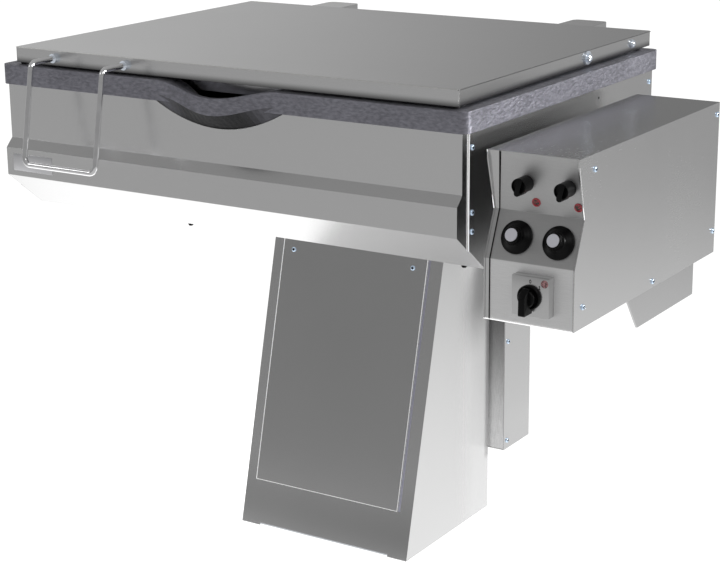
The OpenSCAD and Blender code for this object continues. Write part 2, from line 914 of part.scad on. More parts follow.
// The open-fronted tray behind the pedestal that carries the electrical parts
module rear_housing() {
  half = house_w / 2 - sheet_t;
  color("lightgray")
    difference() {
      union() {
        block(
          [-half, house_front, house_low + sheet_t],
          [half, house_front + sheet_t, house_top - sheet_t]
        );
        for (x = [-half, half - sheet_t])
          block(
            [x, house_front, house_low + sheet_t],
            [x + sheet_t, house_front + 24, house_top - sheet_t]
          );
      }
      block(
        [half - 24, house_front + sheet_t, beam_low - seat],
        [half + cut, house_rear, beam_top + seat]
      );
      beam_bolt_holes(house_front - cut, house_front + sheet_t + cut);
      for (z = house_screw_zs)
        for (x = [-half - cut, half - sheet_t - cut])
          bar_x(x, x + sheet_t + 2 * cut, house_screw_y, z, screw_r + fit);
      for (x = [-60, 60])
        bar_y(house_front - cut, house_front + sheet_t + cut, x, house_low + 60, 15);
    }
}

gland_x = -120;
gland_y = house_front + house_d * 0.55;
gland_bore_r = 9;
gland_thread_r = 14;
louvre_n = 7;

module rear_housing_cover() {
  half = house_w / 2;
  color("gainsboro")
    difference() {
      block([-half, house_front, house_low], [half, house_rear, house_top]);
      block(
        [-half + sheet_t, house_front - cut, house_low + sheet_t],
        [half - sheet_t, house_rear - sheet_t, house_top - sheet_t]
      );
      block(
        [half - sheet_t - cut, house_front - cut, beam_low - seat],
        [half + cut, beam_front + beam_d + seat, beam_top + seat]
      );
      translate([gland_x, gland_y, house_low - cut])
        cylinder(r = gland_thread_r + fit, h = sheet_t + 2 * cut);
      for (z = house_screw_zs)
        for (x = [-half - cut, half - sheet_t - cut])
          bar_x(x, x + sheet_t + 2 * cut, house_screw_y, z, screw_r + fit);
      for (k = [0 : louvre_n - 1])
        block(
          [-70, house_rear - sheet_t - cut, house_low + 60 + 14 * k],
          [70, house_rear + cut, house_low + 65 + 14 * k]
        );
    }
}

rail_z = house_low + 210;

module din_rail() {
  color("silver")
    folded_sheet(
      [
        [house_front + sheet_t + 7.5, rail_z + 17.5],
        [house_front + sheet_t + 7.5, rail_z + 12.5],
        [house_front + sheet_t, rail_z + 12.5],
        [house_front + sheet_t, rail_z - 12.5],
        [house_front + sheet_t + 7.5, rail_z - 12.5],
        [house_front + sheet_t + 7.5, rail_z - 17.5]
      ],
      1, -170, 150
    );
}

din_front = house_front + sheet_t + 8.5;

module contactors() {
  color("whitesmoke")
    for (x = [-160, -108, -56]) {
      block([x, din_front + seat, rail_z - 38], [x + 45, din_front + 60, rail_z + 38]);
      block([x + 6, din_front + 60, rail_z - 18], [x + 39, din_front + 72, rail_z + 18]);
    }
}

module terminal_block() {
  color("darkseagreen")
    for (k = [0 : 7])
      block(
        [20 + 8.5 * k, din_front + seat, rail_z - 22],
        [28 + 8.5 * k, din_front + 38, rail_z + 22]
      );
}

module cable_gland() {
  color("dimgray") translate([gland_x, gland_y, 0])
      difference() {
        union() {
          translate([0, 0, house_low - 16]) cylinder(r = gland_thread_r, h = 16 + sheet_t + 10);
          translate([0, 0, house_low - 7]) cylinder(r = 19, h = 7, $fn = 6);
          translate([0, 0, house_low - 26]) cylinder(r1 = 13, r2 = 17.5, h = 16);
          translate([0, 0, house_low + sheet_t]) cylinder(r = 19, h = 6, $fn = 6);
        }
        translate([0, 0, house_low - 26 - cut]) cylinder(r = gland_bore_r, h = 60);
      }
}

module cross_beam() {
  color("silver")
    difference() {
      union() {
        difference() {
          block(
            [-beam_left, beam_front, beam_low],
            [beam_right - beam_end_t, beam_front + beam_d, beam_top]
          );
          block(
            [-beam_left - cut, beam_front + beam_t, beam_low + beam_t],
            [beam_right, beam_front + beam_d - beam_t, beam_top - beam_t]
          );
        }
        block(
          [beam_right - beam_end_t, beam_front, beam_low],
          [beam_right, beam_front + beam_d, beam_top]
        );
      }
      beam_bolt_holes(beam_front - cut, beam_front + beam_d + cut);
      for (y = bracket_bolt_ys)
        for (z = bracket_bolt_zs)
          bar_x(beam_right - beam_end_t - cut, beam_right + cut, y, z, 4 + fit);
      bar_x(
        beam_right - beam_end_t - cut, beam_right + cut,
        beam_front + beam_d / 2, (beam_low + beam_top) / 2, 14
      );
    }
}

// Channel under the control box: its inner flange is bolted to the beam's end
module box_bracket() {
  y0 = box_front + bracket_set;
  y1 = y0 + bracket_l;
  z1 = box_low;
  z0 = z1 - bracket_h;
  beam_y = beam_front + beam_d;
  color("gainsboro")
    difference() {
      union() {
        along_x(bracket_x0, bracket_x0 + bracket_t)
          polygon([
            [y0, z1], [y0 + bracket_slope, z0], [y1, z0], [beam_front, beam_low],
            [beam_y, beam_low], [beam_y, beam_top], [y1 + 30, z1]
          ]);
        along_x(bracket_x1 - bracket_t, bracket_x1)
          polygon([[y0, z1], [y0 + bracket_slope, z0], [y1, z0], [y1, z1]]);
        block([bracket_x0, y0, z1 - bracket_t], [bracket_x1, y1, z1]);
      }
      for (y = bracket_bolt_ys)
        for (z = bracket_bolt_zs)
          bar_x(bracket_x0 - cut, bracket_x0 + bracket_t + cut, y, z, 4 + fit);
      bar_x(
        bracket_x0 - cut, bracket_x0 + bracket_t + cut,
        beam_front + beam_d / 2, (beam_low + beam_top) / 2, 14
      );
    }
}

// Outline of the control box's side plates, a little proud of the fascia
plate_line = concat(
  [[box_front - plate_proud, box_top], [box_front - plate_proud, box_top - plate_lip]],
  shifted(part_of(box_line, 1, 3), [-plate_proud, 0])
);

module side_plate(x0) {
  along_x(x0, x0 + sheet_t)
    polygon(concat(plate_line, [[box_rear, box_low], [box_rear, box_top]]));
}

module box_screw_holes(x0) {
  for (p = box_screws)
    bar_x(x0 - cut, x0 + sheet_t + cut, p[0], p[1], screw_r + fit);
}

module control_box_shell() {
  color("silver")
    difference() {
      union() {
        side_plate(box_x1 - sheet_t);
        block(
          [box_x0 + sheet_t, box_front + sheet_t + 0.8, box_top - sheet_t],
          [box_x1, box_rear, box_top]
        );
        block([box_x0 + sheet_t, box_rear - sheet_t, box_low], [box_x1, box_rear, box_top]);
        block(
          [box_x0 + sheet_t, box_line[3][0] + sheet_t + seat, box_low],
          [box_x1, box_rear, box_low + sheet_t]
        );
      }
      box_screw_holes(box_x1 - sheet_t);
    }
}

// Left edge of the fascia as a line of width and height, moved by d
function gap_line(d) = [
  [box_x0 + strip_top + d, box_top + cut],
  [box_x0 + strip_low + d, box_line[1][1]],
  [box_x0 + strip_low + d, box_low - cut]
];

// The folded front of the box, trimmed level at its top and bottom
module front_sheet(x0, x1) {
  intersection() {
    folded_sheet(box_line, sheet_t, x0, x1);
    block([x0, box_front - 100, box_low], [x1, box_front + 100, box_top]);
  }
}

module gap_cut(d, far_x) {
  line = gap_line(d);
  translate([0, box_front + 150, 0]) rotate([90, 0, 0]) linear_extrude(height = 300)
        polygon(concat(line, [[far_x, box_low - cut], [far_x, box_top + cut]]));
}

module control_box_inner_cover() {
  color("silver")
    union() {
      side_plate(box_x0);
      difference() {
        front_sheet(box_x0 + sheet_t, box_x0 + strip_top + 2);
        gap_cut(-strip_gap / 2, box_x1);
      }
    }
}

thermo_s = norm(box_line[2] - box_line[1]) * 0.52;
switch_x = box_x0 + 84.5;
switch_s = box_line[2][1] - box_low - switch_z;
zone_xs = [box_x0 + knob_x, box_x0 + knob_x + knob_pitch];
thermo_xs = [box_x0 + thermo_x, box_x0 + thermo_x + knob_pitch];
lamp_xs = [box_x0 + lamp_x, box_x0 + lamp_x + knob_pitch];
lamp_stem_r = lamp_r - 1.5;

module control_fascia() {
  color("darkgray")
    difference() {
      front_sheet(box_x0 + strip_low, box_x1 - sheet_t - seat);
      gap_cut(strip_gap / 2, box_x0 - cut);
      for (x = zone_xs)
        on_fascia(0, zone_s, x, true) translate([0, 0, -10])
          cylinder(r = spindle_r + fit, h = 20);
      for (x = lamp_xs)
        on_fascia(0, lamp_s, x) translate([0, 0, -10]) cylinder(r = lamp_stem_r + fit, h = 20);
      for (x = thermo_xs)
        on_fascia(1, thermo_s, x) translate([0, 0, -10]) cylinder(r = spindle_r + fit, h = 20);
      on_fascia(2, switch_s, switch_x) translate([0, 0, -10])
          cylinder(r = spindle_r + fit, h = 20);
    }
}

module casing_screws() {
  half = house_w / 2;
  color("silver") {
    for (x = door_screws)
      on_rake(x, door_screw_z) screw(l = 2 * sheet_t + 1);
    for (z = house_screw_zs) {
      translate([half, house_screw_y, z]) face_right() screw(l = 2 * sheet_t + 1);
      translate([-half, house_screw_y, z]) face_left() screw(l = 2 * sheet_t + 1);
    }
    for (p = box_screws)
      translate([box_x1, p[0], p[1]]) face_right() screw(l = sheet_t + 3);
  }
}

// A switch or thermostat body behind the fascia, with a hole for the spindle
module control_body(w, h, depth) {
  translate([0, 0, -sheet_t - seat])
    difference() {
      translate([-w / 2, -h / 2, -depth]) cube([w, h, depth]);
      translate([0, 0, -14]) cylinder(r = spindle_r + fit, h = 15);
    }
}

module rotary_switches() {
  color("ivory") {
    for (x = zone_xs)
      on_fascia(0, zone_s, x, true) translate([0, 0, -5]) control_body(28, 34, 42);
    on_fascia(2, switch_s, switch_x) control_body(48, 48, 60);
  }
}

module thermostats() {
  color("tan")
    for (x = thermo_xs)
      on_fascia(1, thermo_s, x) control_body(36, 30, 34);
}

module switch_plate() {
  color("darkgray") on_fascia(2, switch_s, switch_x)
      difference() {
        union() {
          translate([-plate_s / 2, -plate_s / 2, 0]) cube([plate_s, plate_s, plate_h - 1]);
          translate([1 - plate_s / 2, 1 - plate_s / 2, 2])
            cube([plate_s - 2, plate_s - 2, plate_h - 2]);
        }
        translate([0, 0, -cut]) cylinder(r = spindle_r + fit, h = plate_h + 2 * cut);
        translate([23, 22, 3]) cylinder(r = 5 + fit, h = plate_h);
      }
}

module pilot_lights() {
  color("firebrick") {
    for (x = lamp_xs)
      on_fascia(0, lamp_s, x) {
        translate([0, 0, -12]) cylinder(r = lamp_stem_r, h = 12);
        cylinder(r1 = lamp_r, r2 = lamp_r - 0.8, h = 2);
      }
    on_fascia(2, switch_s, switch_x) translate([23, 22, 3])
        cylinder(r = 5, h = plate_h - 3 + 1);
  }
}

module limit_switches() {
  x1 = cheek_x - cheek_t;
  color("black")
    for (z = [axle_z - 88, axle_z - 44])
      block([x1 - 18, axle_y + 68, z], [x1, axle_y + 94, z + 22]);
}

// The pan's inside: an upright outline met by two with round lower corners
module mouth() {
  z0 = rim_top - pan_depth;
  z1 = rim_top + 2 * floor_r;
  intersection() {
    translate([0, 0, z0 - cut]) linear_extrude(height = z1 - z0)
        round_rect(-mouth_x, mouth_x, mouth_front, mouth_rear, mouth_r);
    along_x(-mouth_x - cut, mouth_x + cut)
      round_rect(mouth_front, mouth_rear, z0, z1, floor_r);
    translate([0, mouth_rear + cut, 0]) rotate([90, 0, 0])
        linear_extrude(height = mouth_rear - mouth_front + 2 * cut)
          round_rect(-mouth_x, mouth_x, z0, z1, floor_r);
  }
}

// The cast pan with its rim, skirt and spout in one piece
module pan_casting() {
  half = rim_w / 2;
  tub_x = mouth_x + pan_wall_t;
  color("dimgray")
    difference() {
      union() {
        translate([0, 0, rim_low]) linear_extrude(height = rim_h)
            round_rect(-half, half, rim_front, rim_rear, rim_r);
        translate([0, 0, pan_under]) linear_extrude(height = rim_top - pan_under - cut)
            round_rect(
              -tub_x, tub_x, mouth_front - pan_wall_t, mouth_rear + pan_wall_t,
              mouth_r + pan_wall_t
            );
        difference() {
          block(
            [-skirt_x, panel_front + sheet_t, rim_low - skirt_h],
            [skirt_x, panel_rear - sheet_t, rim_low + cut]
          );
          block(
            [-skirt_x + skirt_t, panel_front + sheet_t + skirt_t, rim_low - skirt_h - cut],
            [skirt_x - skirt_t, panel_rear - sheet_t - skirt_t, rim_low + 2 * cut]
          );
        }
        spout_body();
      }
      mouth();
      spout_dip_cut();
      spout_channel();
      for (s = [-1, 1])
        for (p = side_screws)
          if (p[1] > rim_low - skirt_h)
            bar_x(
              s > 0 ? skirt_x - skirt_t - cut : -side_x - cut,
              s > 0 ? side_x + cut : -skirt_x + skirt_t + cut,
              p[0], p[1], screw_r + fit
            );
      hinge_bolt_holes(rim_rear - 16, rim_rear + cut);
    }
}

hinge_bolt_x = 22;
hinge_bolt_z = rim_low + 11;

module hinge_bolt_holes(y0, y1) {
  for (h = hinge_xs)
    for (x = [-hinge_bolt_x, hinge_bolt_x])
      bar_y(y0, y1, h + x, hinge_bolt_z, 4 + fit);
}

module side_screw_holes(x0, x1) {
  for (p = concat(side_screws, side_holes))
    bar_x(x0, x1, p[0], p[1], screw_r + fit);
}

// Side returns of the front panel, behind its outline
module front_return(x0) {
  y1 = edge_y + 10;
  slope = chamfer_h / chamfer_d;
  along_x(x0, x0 + sheet_t)
    polygon(concat(
      part_of(front_line, 0, 3),
      [[y1, belly_z + chamfer_h - slope * (y1 - knee_front)], [y1, rim_low]]
    ));
}

module front_panel() {
  color("silver")
    difference() {
      union() {
        folded_sheet(front_line, sheet_t, -side_x, side_x);
        front_return(-side_x);
        front_return(side_x - sheet_t);
      }
      translate([0, panel_front + return_d, 0]) rotate([90, 0, 0])
          linear_extrude(height = return_d + knee_out + cut)
            polygon(concat(
              [for (x = spout_xs) [x, trace(x) - 0.5]],
              [[spout_half, rim_low + cut], [-spout_half, rim_low + cut]]
            ));
      side_screw_holes(-side_x - cut, -side_x + sheet_t + cut);
      side_screw_holes(side_x - sheet_t - cut, side_x + cut);
      for (x = belly_screws)
        translate([x, belly_screw_y, belly_z - cut])
          cylinder(r = screw_r + fit, h = sheet_t + 2 * cut, $fn = screw_fn);
    }
}

// A side panel with a flange turned in under the belly
module side_panel(s) {
  front = panel_front + return_d - 2;
  slope = chamfer_h / chamfer_d;
  x0 = s > 0 ? side_x : -side_x - side_t;
  difference() {
    union() {
      along_x(x0, x0 + side_t)
        polygon([
          [front, rim_low],
          [panel_rear, rim_low],
          [panel_rear, belly_z],
          [belly_front, belly_z],
          [front, belly_z + chamfer_h - slope * (front - knee_front)]
        ]);
      block(
        [s > 0 ? side_x - flange_w : -side_x, belly_front + flange_w + slot_gap, belly_z],
        [s > 0 ? side_x : -side_x + flange_w, panel_rear - flange_w - slot_gap, belly_z + sheet_t]
      );
    }
    side_screw_holes(x0 - cut, x0 + side_t + cut);
  }
}

module side_panel_left() {
  color("silver")
    side_panel(-1);
}

module side_panel_right() {
  color("silver")
    side_panel(1);
}

module rear_panel() {
  color("silver")
    difference() {
      union() {
        block([-side_x, panel_rear - sheet_t, belly_z], [side_x, panel_rear, rim_low]);
        block([-side_x, panel_rear - flange_w, belly_z], [side_x, panel_rear, belly_z + sheet_t]);
        for (s = [-1, 1])
          block(
            [s > 0 ? side_x - sheet_t : -side_x, panel_rear - return_d, belly_z],
            [s > 0 ? side_x : -side_x + sheet_t, panel_rear, rim_low]
          );
      }
      side_screw_holes(-side_x - cut, -side_x + sheet_t + cut);
      side_screw_holes(side_x - sheet_t - cut, side_x + cut);
    }
}

// Slots that the two tilt lugs pass through
module lug_slots(z0, z1, half) {
  for (s = [-1, 1])
    block(
      [s > 0 ? lug_in - slot_gap : -lug_out - slot_gap, axle_y - half, z0],
      [s > 0 ? lug_out + slot_gap : -lug_in + slot_gap, axle_y + half, z1]
    );
}

module bottom_panel() {
  z0 = belly_z + sheet_t;
  inner = side_x - sheet_t - seat;
  color("silver")
    difference() {
      block(
        [-inner, belly_front + 2 * sheet_t, z0],
        [inner, panel_rear - sheet_t - seat, z0 + sheet_t]
      );
      lug_slots(z0 - cut, z0 + sheet_t + cut, lug_foot);
      for (x = belly_screws)
        translate([x, belly_screw_y, z0 - cut])
          cylinder(r = screw_r + fit, h = sheet_t + 2 * cut, $fn = screw_fn);
    }
}

module pan_fasteners() {
  color("silver") {
    for (p = side_screws) {
      translate([side_x + side_t, p[0], p[1]]) face_right() screw(l = side_t + sheet_t + 3);
      translate([-side_x - side_t, p[0], p[1]]) face_left() screw(l = side_t + sheet_t + 3);
    }
    for (x = belly_screws)
      translate([x, belly_screw_y, belly_z]) face_down() screw(l = 2 * sheet_t + 1);
    for (h = hinge_xs)
      for (x = [-hinge_bolt_x, hinge_bolt_x])
        translate([h + x, rim_rear + hinge_base_t, hinge_bolt_z]) face_rear()
            hex_bolt(head_h = 4.5, r = 4, l = hinge_base_t + 15);
  }
}

mat_low = belly_z + 2 * sheet_t;

module insulation_mat() {
  z1 = mat_low + mat_t;
  rail = rail_w / 2 + slot_gap;
  color("khaki")
    difference() {
      block(
        [-side_x + sheet_t + 4, belly_front + 30, mat_low],
        [side_x - sheet_t - 4, panel_rear - 6, z1]
      );
      lug_slots(mat_low - cut, z1 + cut, lug_foot + slot_gap);
      for (s = [-1, 1])
        block(
          [s * rail_x - rail, rail_front - slot_gap, rail_low - slot_gap],
          [s * rail_x + rail, rail_rear + slot_gap, z1 + cut]
        );
      for (y = cross_ys)
        block([-rail_x, y - rail, rail_low - slot_gap], [rail_x, y + rail, z1 + cut]);
    }
}

element_z = pan_under - element_d / 2 - seat;
element_front = mouth_front + 40;
element_rear = mouth_rear - 40;
function element_x(s, k) = s * (rail_x + 52 + element_step * k);

// A hairpin heating rod: two long legs and a round bend at the front
module heating_rod(x) {
  r = element_pitch / 2;
  for (a = [-1, 1])
    bar_y(element_front + r, element_rear, x + a * r, element_z, element_d / 2, $fn = 16);
  translate([x, element_front + r, element_z]) rotate([0, 0, 180])
      rotate_extrude(angle = 180, $fn = 32) translate([r, 0]) circle(d = element_d, $fn = 16);
}

module heating_elements() {
  color("darkslategray")
    for (s = [-1, 1])
      for (k = [0 : element_n - 1])
        heating_rod(element_x(s, k));
}

clamp_ys = [element_front + 90, (element_front + element_rear) / 2, element_rear - 60];
clamp_top = element_z - element_d / 2 - 0.1;

// Flat bars that press the heating rods to the pan, each on two studs
module element_clamps() {
  reach = element_pitch / 2 + element_d / 2 + 4;
  color("silver")
    for (s = [-1, 1])
      for (y = clamp_ys)
        let (
          xa = min(element_x(s, 0), element_x(s, element_n - 1)) - reach,
          xb = max(element_x(s, 0), element_x(s, element_n - 1)) + reach
        ) {
          block([xa, y - 12, clamp_top - 3], [xb, y + 12, clamp_top]);
          for (k = [0, element_n - 1])
            translate([element_x(s, k), y, clamp_top - 3])
              cylinder(r = 4, h = pan_under - clamp_top + 3, $fn = 16);
        }
}

module temperature_probes() {
  color("goldenrod")
    for (s = [-1, 1])
      bar_y(
        element_front + 120, element_rear - 140,
        s * (rail_x + 52 + element_step / 2), pan_under - 3.2, 3, $fn = 16
      );
}

cross_ys = [rail_front + 120, rail_rear - 120];

// Rails under the pan with the two lugs that hang from them
module tilt_frame() {
  color("slategray")
    union() {
      for (s = [-1, 1]) {
        block(
          [s * rail_x - rail_w / 2, rail_front, rail_low],
          [s * rail_x + rail_w / 2, rail_rear, pan_under]
        );
        along_x(s > 0 ? lug_in : -lug_out, s > 0 ? lug_out : -lug_in)
          difference() {
            union() {
              polygon([
                [axle_y - cheek_r + 2, axle_z],
                [axle_y + cheek_r - 2, axle_z],
                [axle_y + lug_foot - slot_gap, rail_low + 1],
                [axle_y - lug_foot + slot_gap, rail_low + 1]
              ]);
              translate([axle_y, axle_z]) circle(r = cheek_r);
            }
            translate([axle_y, axle_z]) circle(r = shaft_d / 2 + fit);
          }
      }
      for (y = cross_ys)
        block([-rail_x, y - rail_w / 2, rail_low], [rail_x, y + rail_w / 2, pan_under]);
    }
}

module tilt_shaft() {
  color("gainsboro")
    difference() {
      bar_x(-shaft_half, shaft_half, axle_y, axle_z, shaft_d / 2);
      for (s = [-1, 1])
        bar_x(
          s > 0 ? shaft_half - 8 : -shaft_half - cut,
          s > 0 ? shaft_half + cut : -shaft_half + 8,
          axle_y, axle_z, 4
        );
    }
}

module tilt_gear_segment() {
  hub_r = shaft_d / 2 + 11;
  start = -mesh_angle + teeth_back * wheel_step;
  color("darkgray") translate([0, axle_y, axle_z])
      difference() {
        union() {
          along_x(gear_x, gear_x + gear_w)
            polygon(concat(
              [[0, 0]],
              [
                for (k = [-teeth_fore : teeth_back])
                  each tooth(wheel_teeth, -mesh_angle + k * wheel_step)
              ]
            ));
          bar_x(gear_x - 5, gear_x + gear_w + 5, 0, 0, hub_r);
        }
        bar_x(gear_x - 5 - cut, gear_x + gear_w + 5 + cut, 0, 0, shaft_d / 2 + fit);
      }
}

module shaft_collars() {
  color("silver")
    for (s = [-1, 1])
      difference() {
        bar_x(
          s > 0 ? lug_out + seat : -lug_out - seat - collar_t,
          s > 0 ? lug_out + seat + collar_t : -lug_out - seat,
          axle_y, axle_z, collar_r
        );
        bar_x(-shaft_half, shaft_half, axle_y, axle_z, shaft_d / 2 + fit);
      }
}

hinge_base_t = 6;

module hinge_brackets() {
  half = hinge_w / 2 - 1;
  color("dimgray")
    difference() {
      for (h = hinge_xs) {
        block([h - half, rim_rear, rim_low], [h + half, rim_rear + hinge_base_t, rim_top]);
        block([h - eye_w / 2, rim_rear, pin_z + 3 - arm_h], [h + eye_w / 2, pin_y, pin_z + 3]);
        bar_x(h - eye_w / 2, h + eye_w / 2, pin_y, pin_z, eye_r);
      }
      for (h = hinge_xs)
        bar_x(h - eye_w / 2 - cut, h + eye_w / 2 + cut, pin_y, pin_z, pin_r + fit);
      hinge_bolt_holes(rim_rear - cut, rim_rear + hinge_base_t + cut);
    }
}

module hinge_pins() {
  color("gainsboro")
    for (h = hinge_xs) {
      bar_x(h - hinge_w / 2 - 0.5, h + hinge_w / 2 + 2, pin_y, pin_z, pin_r);
      bar_x(h - hinge_w / 2 - 3, h - hinge_w / 2 - 0.5, pin_y, pin_z, pin_r + 3);
    }
}

spring_r = pin_r + 1.5 + spring_wire / 2 + 1;
ring_sides = 6;
ring_steps = 12;

// A coil around the pin, swept as one closed skin
module hinge_spring(h) {
  pitch = spring_wire * 1.12;
  n = spring_turns * ring_steps;
  x0 = h + eye_w / 2 + spring_wire / 2 + seat;
  loft([
    for (i = [0 : n])
      let (a = 360 * i / ring_steps, x = x0 + pitch * i / ring_steps)
      [
        for (j = [0 : ring_sides - 1])
          let (b = -360 * j / ring_sides, r = spring_r + spring_wire / 2 * cos(b))
          [x + spring_wire / 2 * sin(b), pin_y + r * cos(a), pin_z + r * sin(a)]
      ]
  ]);
}

module hinge_springs() {
  color("lightsteelblue")
    for (h = hinge_xs)
      hinge_spring(h);
}

module lid_bolt_holes(x0, x1) {
  for (y = lid_bolt_ys)
    bar_x(x0, x1, y, lid_bolt_z, 4 + fit);
}

handle_z = lid_top - 13;
handle_xs = [-handle_x, -handle_x + handle_w];

module lid_shell() {
  half = lid_w / 2;
  color("silver")
    difference() {
      translate([0, 0, lid_low]) linear_extrude(height = lid_h)
          round_rect(-half, half, lid_front, lid_rear, 4);
      translate([0, 0, lid_low - cut]) linear_extrude(height = lid_h - lid_t + cut)
          round_rect(-half + lid_t, half - lid_t, lid_front + lid_t, lid_rear - lid_t, 2);
      lid_bolt_holes(half - lid_t - cut, half + cut);
      lid_bolt_holes(-half - cut, -half + lid_t + cut);
      for (x = handle_xs)
        bar_y(lid_front - cut, lid_front + lid_t + cut, x, handle_z, rod_d / 2 + fit);
    }
}

liner_t = 1.5;
liner_x = lid_w / 2 - lid_t - seat;
liner_z = lid_low + 2;

module lid_liner() {
  half = liner_x;
  skirt_x = mouth_x - liner_gap;
  skirt_front = mouth_front + liner_gap;
  skirt_rear = mouth_rear - liner_gap;
  color("lightgray")
    union() {
      block(
        [-half, lid_front + lid_t + seat, liner_z],
        [half, lid_rear - lid_t - seat, liner_z + liner_t]
      );
      translate([0, 0, lid_low - liner_drop])
        linear_extrude(height = liner_z - lid_low + liner_drop)
          difference() {
            round_rect(-skirt_x, skirt_x, skirt_front, skirt_rear, mouth_r - liner_gap);
            round_rect(
              -skirt_x + liner_t, skirt_x - liner_t,
              skirt_front + liner_t, skirt_rear - liner_t,
              mouth_r - liner_gap - liner_t
            );
          }
    }
}

module lid_side_bars() {
  outer = lid_w / 2 - lid_t;
  color("silver")
    difference() {
      for (s = [-1, 1])
        block(
          [s > 0 ? outer - lid_bar_t : -outer, lid_bolt_ys[0] - 40, liner_z + liner_t],
          [s > 0 ? outer : -outer + lid_bar_t, lid_rear - lid_t - 3, lid_top - lid_t - 1]
        );
      lid_bolt_holes(outer - lid_bar_t - cut, outer + cut);
      lid_bolt_holes(-outer - cut, -outer + lid_bar_t + cut);
    }
}

washer_t = 2.5;
washer_r = 11.5;

// Dome bolts through the lid's sides, the front one of each side on a wide washer
module lid_bolts() {
  color("gainsboro")
    for (s = [-1, 1])
      for (i = [0, 1])
        let (lift = i == 0 ? washer_t : 0)
        translate([s * lid_w / 2, lid_bolt_ys[i], lid_bolt_z])
          rotate([0, 90 * s, 0]) {
            translate([0, 0, lift])
              screw(head_r = 7.5, head_h = 6, r = 4, l = lift + lid_t + lid_bar_t + 2);
            if (i == 0)
              cylinder(r = washer_r, h = washer_t, $fn = 32);
          }
}

// Pads that the lid rests on
module lid_buffers() {
  x = liner_x - 6;
  ys = [mouth_front - 14, mouth_rear + 14];
  color("black")
    for (s = [-1, 1])
      for (y = ys)
        translate([s * x, y, rim_top + 0.3])
          cylinder(r = 5, h = liner_z - rim_top - 0.3, $fn = 24);
}

// Covers over the hinges, open below and towards the pan
module hinge_housings() {
  z0 = lid_top - hinge_h;
  color("silver")
    difference() {
      for (h = hinge_xs)
        translate([0, 0, z0])
          linear_extrude(height = hinge_h) {
            round_rect(h - hinge_w / 2, h + hinge_w / 2, lid_rear, lid_rear + hinge_d, 12);
            translate([h - hinge_w / 2, lid_rear]) square([hinge_w, hinge_d / 2]);
          }
      for (h = hinge_xs) {
        translate([0, 0, z0 - cut]) linear_extrude(height = hinge_h - housing_t + cut)
            round_rect(
              h - hinge_w / 2 + housing_t, h + hinge_w / 2 - housing_t,
              lid_rear + housing_t, lid_rear + hinge_d - housing_t, 9
            );
        along_x(h - hinge_w / 2 - cut, h + hinge_w / 2 + cut)
          polygon([
            [lid_rear - cut, lid_low],
            [lid_rear + housing_t, lid_low],
            [pin_y - 20, z0 - cut],
            [lid_rear - cut, z0 - cut]
          ]);
        bar_x(h - hinge_w / 2 - cut, h + hinge_w / 2 + cut, pin_y, pin_z, pin_r + fit);
      }
    }
}

// Round rod bent to a bail: two prongs, two sloping legs and a cross bar.
// The straight lengths are a hair thinner and tuck into the upper bends.
module lid_handle() {
  r = rod_d / 2;
  thin = r - 0.03;
  tuck = 0.5;
  turn = 90 - handle_tilt;
  bend_y = lid_front - handle_reach + rod_bend;
  leg = handle_leg - rod_bend * tan(turn / 2) - rod_bend;
  color("white") {
    for (x = handle_xs) {
      bar_y(bend_y - tuck, lid_front + 11, x, handle_z, thin);
      translate([x, bend_y, handle_z - rod_bend])
        rotate([0, -90, 0]) rotate([0, 0, -turn])
          rotate_extrude(angle = turn) translate([rod_bend, 0]) circle(r = r);
    }
    translate([0, bend_y, handle_z - rod_bend])
      rotate([-handle_tilt, 0, 0]) translate([0, -rod_bend, -leg]) {
        for (x = handle_xs)
          translate([x, 0, 0]) cylinder(r = thin, h = leg + tuck);
        for (s = [0, 1])
          translate([handle_xs[s] + (s == 0 ? rod_bend : -rod_bend), 0, 0])
            rotate([90, 0, 0]) rotate([0, 0, s == 0 ? 180 : 270])
              rotate_extrude(angle = 90) translate([rod_bend, 0]) circle(r = r);
        bar_x(handle_xs[0] + rod_bend, handle_xs[1] - rod_bend, 0, -rod_bend, r);
      }
  }
}

module handle_nuts() {
  color("silver")
    for (x = handle_xs)
      difference() {
        union() {
          bar_y(lid_front - 6, lid_front, x, handle_z, rod_d / 2 + 3);
          bar_y(lid_front + lid_t, lid_front + lid_t + 6, x, handle_z, rod_d / 2 + 4, $fn = 6);
        }
        bar_y(lid_front - 7, lid_front + lid_t + 7, x, handle_z, rod_d / 2 + fit);
      }
}

module drive_pinion() {
  color("gold") translate([0, pinion_y, pinion_z])
      union() {
        along_x(gear_x - 2, gear_x + gear_w + 2)
          polygon([
            for (k = [0 : pinion_teeth - 1])
              each tooth(pinion_teeth, -mesh_angle + 360 * k / pinion_teeth)
          ]);
        bar_x(gearbox_right - 22, cheek_x - 1, 0, 0, pinion_shaft_r);
      }
}

// A knob's spindle, through the front and into the body behind it
module spindle(reach) {
  translate([0, 0, -reach]) cylinder(r = spindle_r, h = reach + 2);
}

module zone_knob(x) {
  nub = 4;
  // Room for the nub to pass the leaning front
  lift = (zone_r + nub) / 4;
  color("black") on_fascia(0, zone_s, x, true) translate([0, 0, lift])
        union() {
          spindle(16);
          cylinder(r1 = zone_r, r2 = zone_r - 0.8, h = zone_l);
          rotate([0, 0, 255]) linear_extrude(height = zone_l)
              polygon([
                [0, -zone_r + 3.5], [zone_r + nub - 2, -3],
                [zone_r + nub, 0], [zone_r + nub - 2, 3], [0, zone_r - 3.5]
              ]);
        }
}

module zone_knob_left() {
  zone_knob(zone_xs[0]);
}

module zone_knob_right() {
  zone_knob(zone_xs[1]);
}

cap_t = 2;

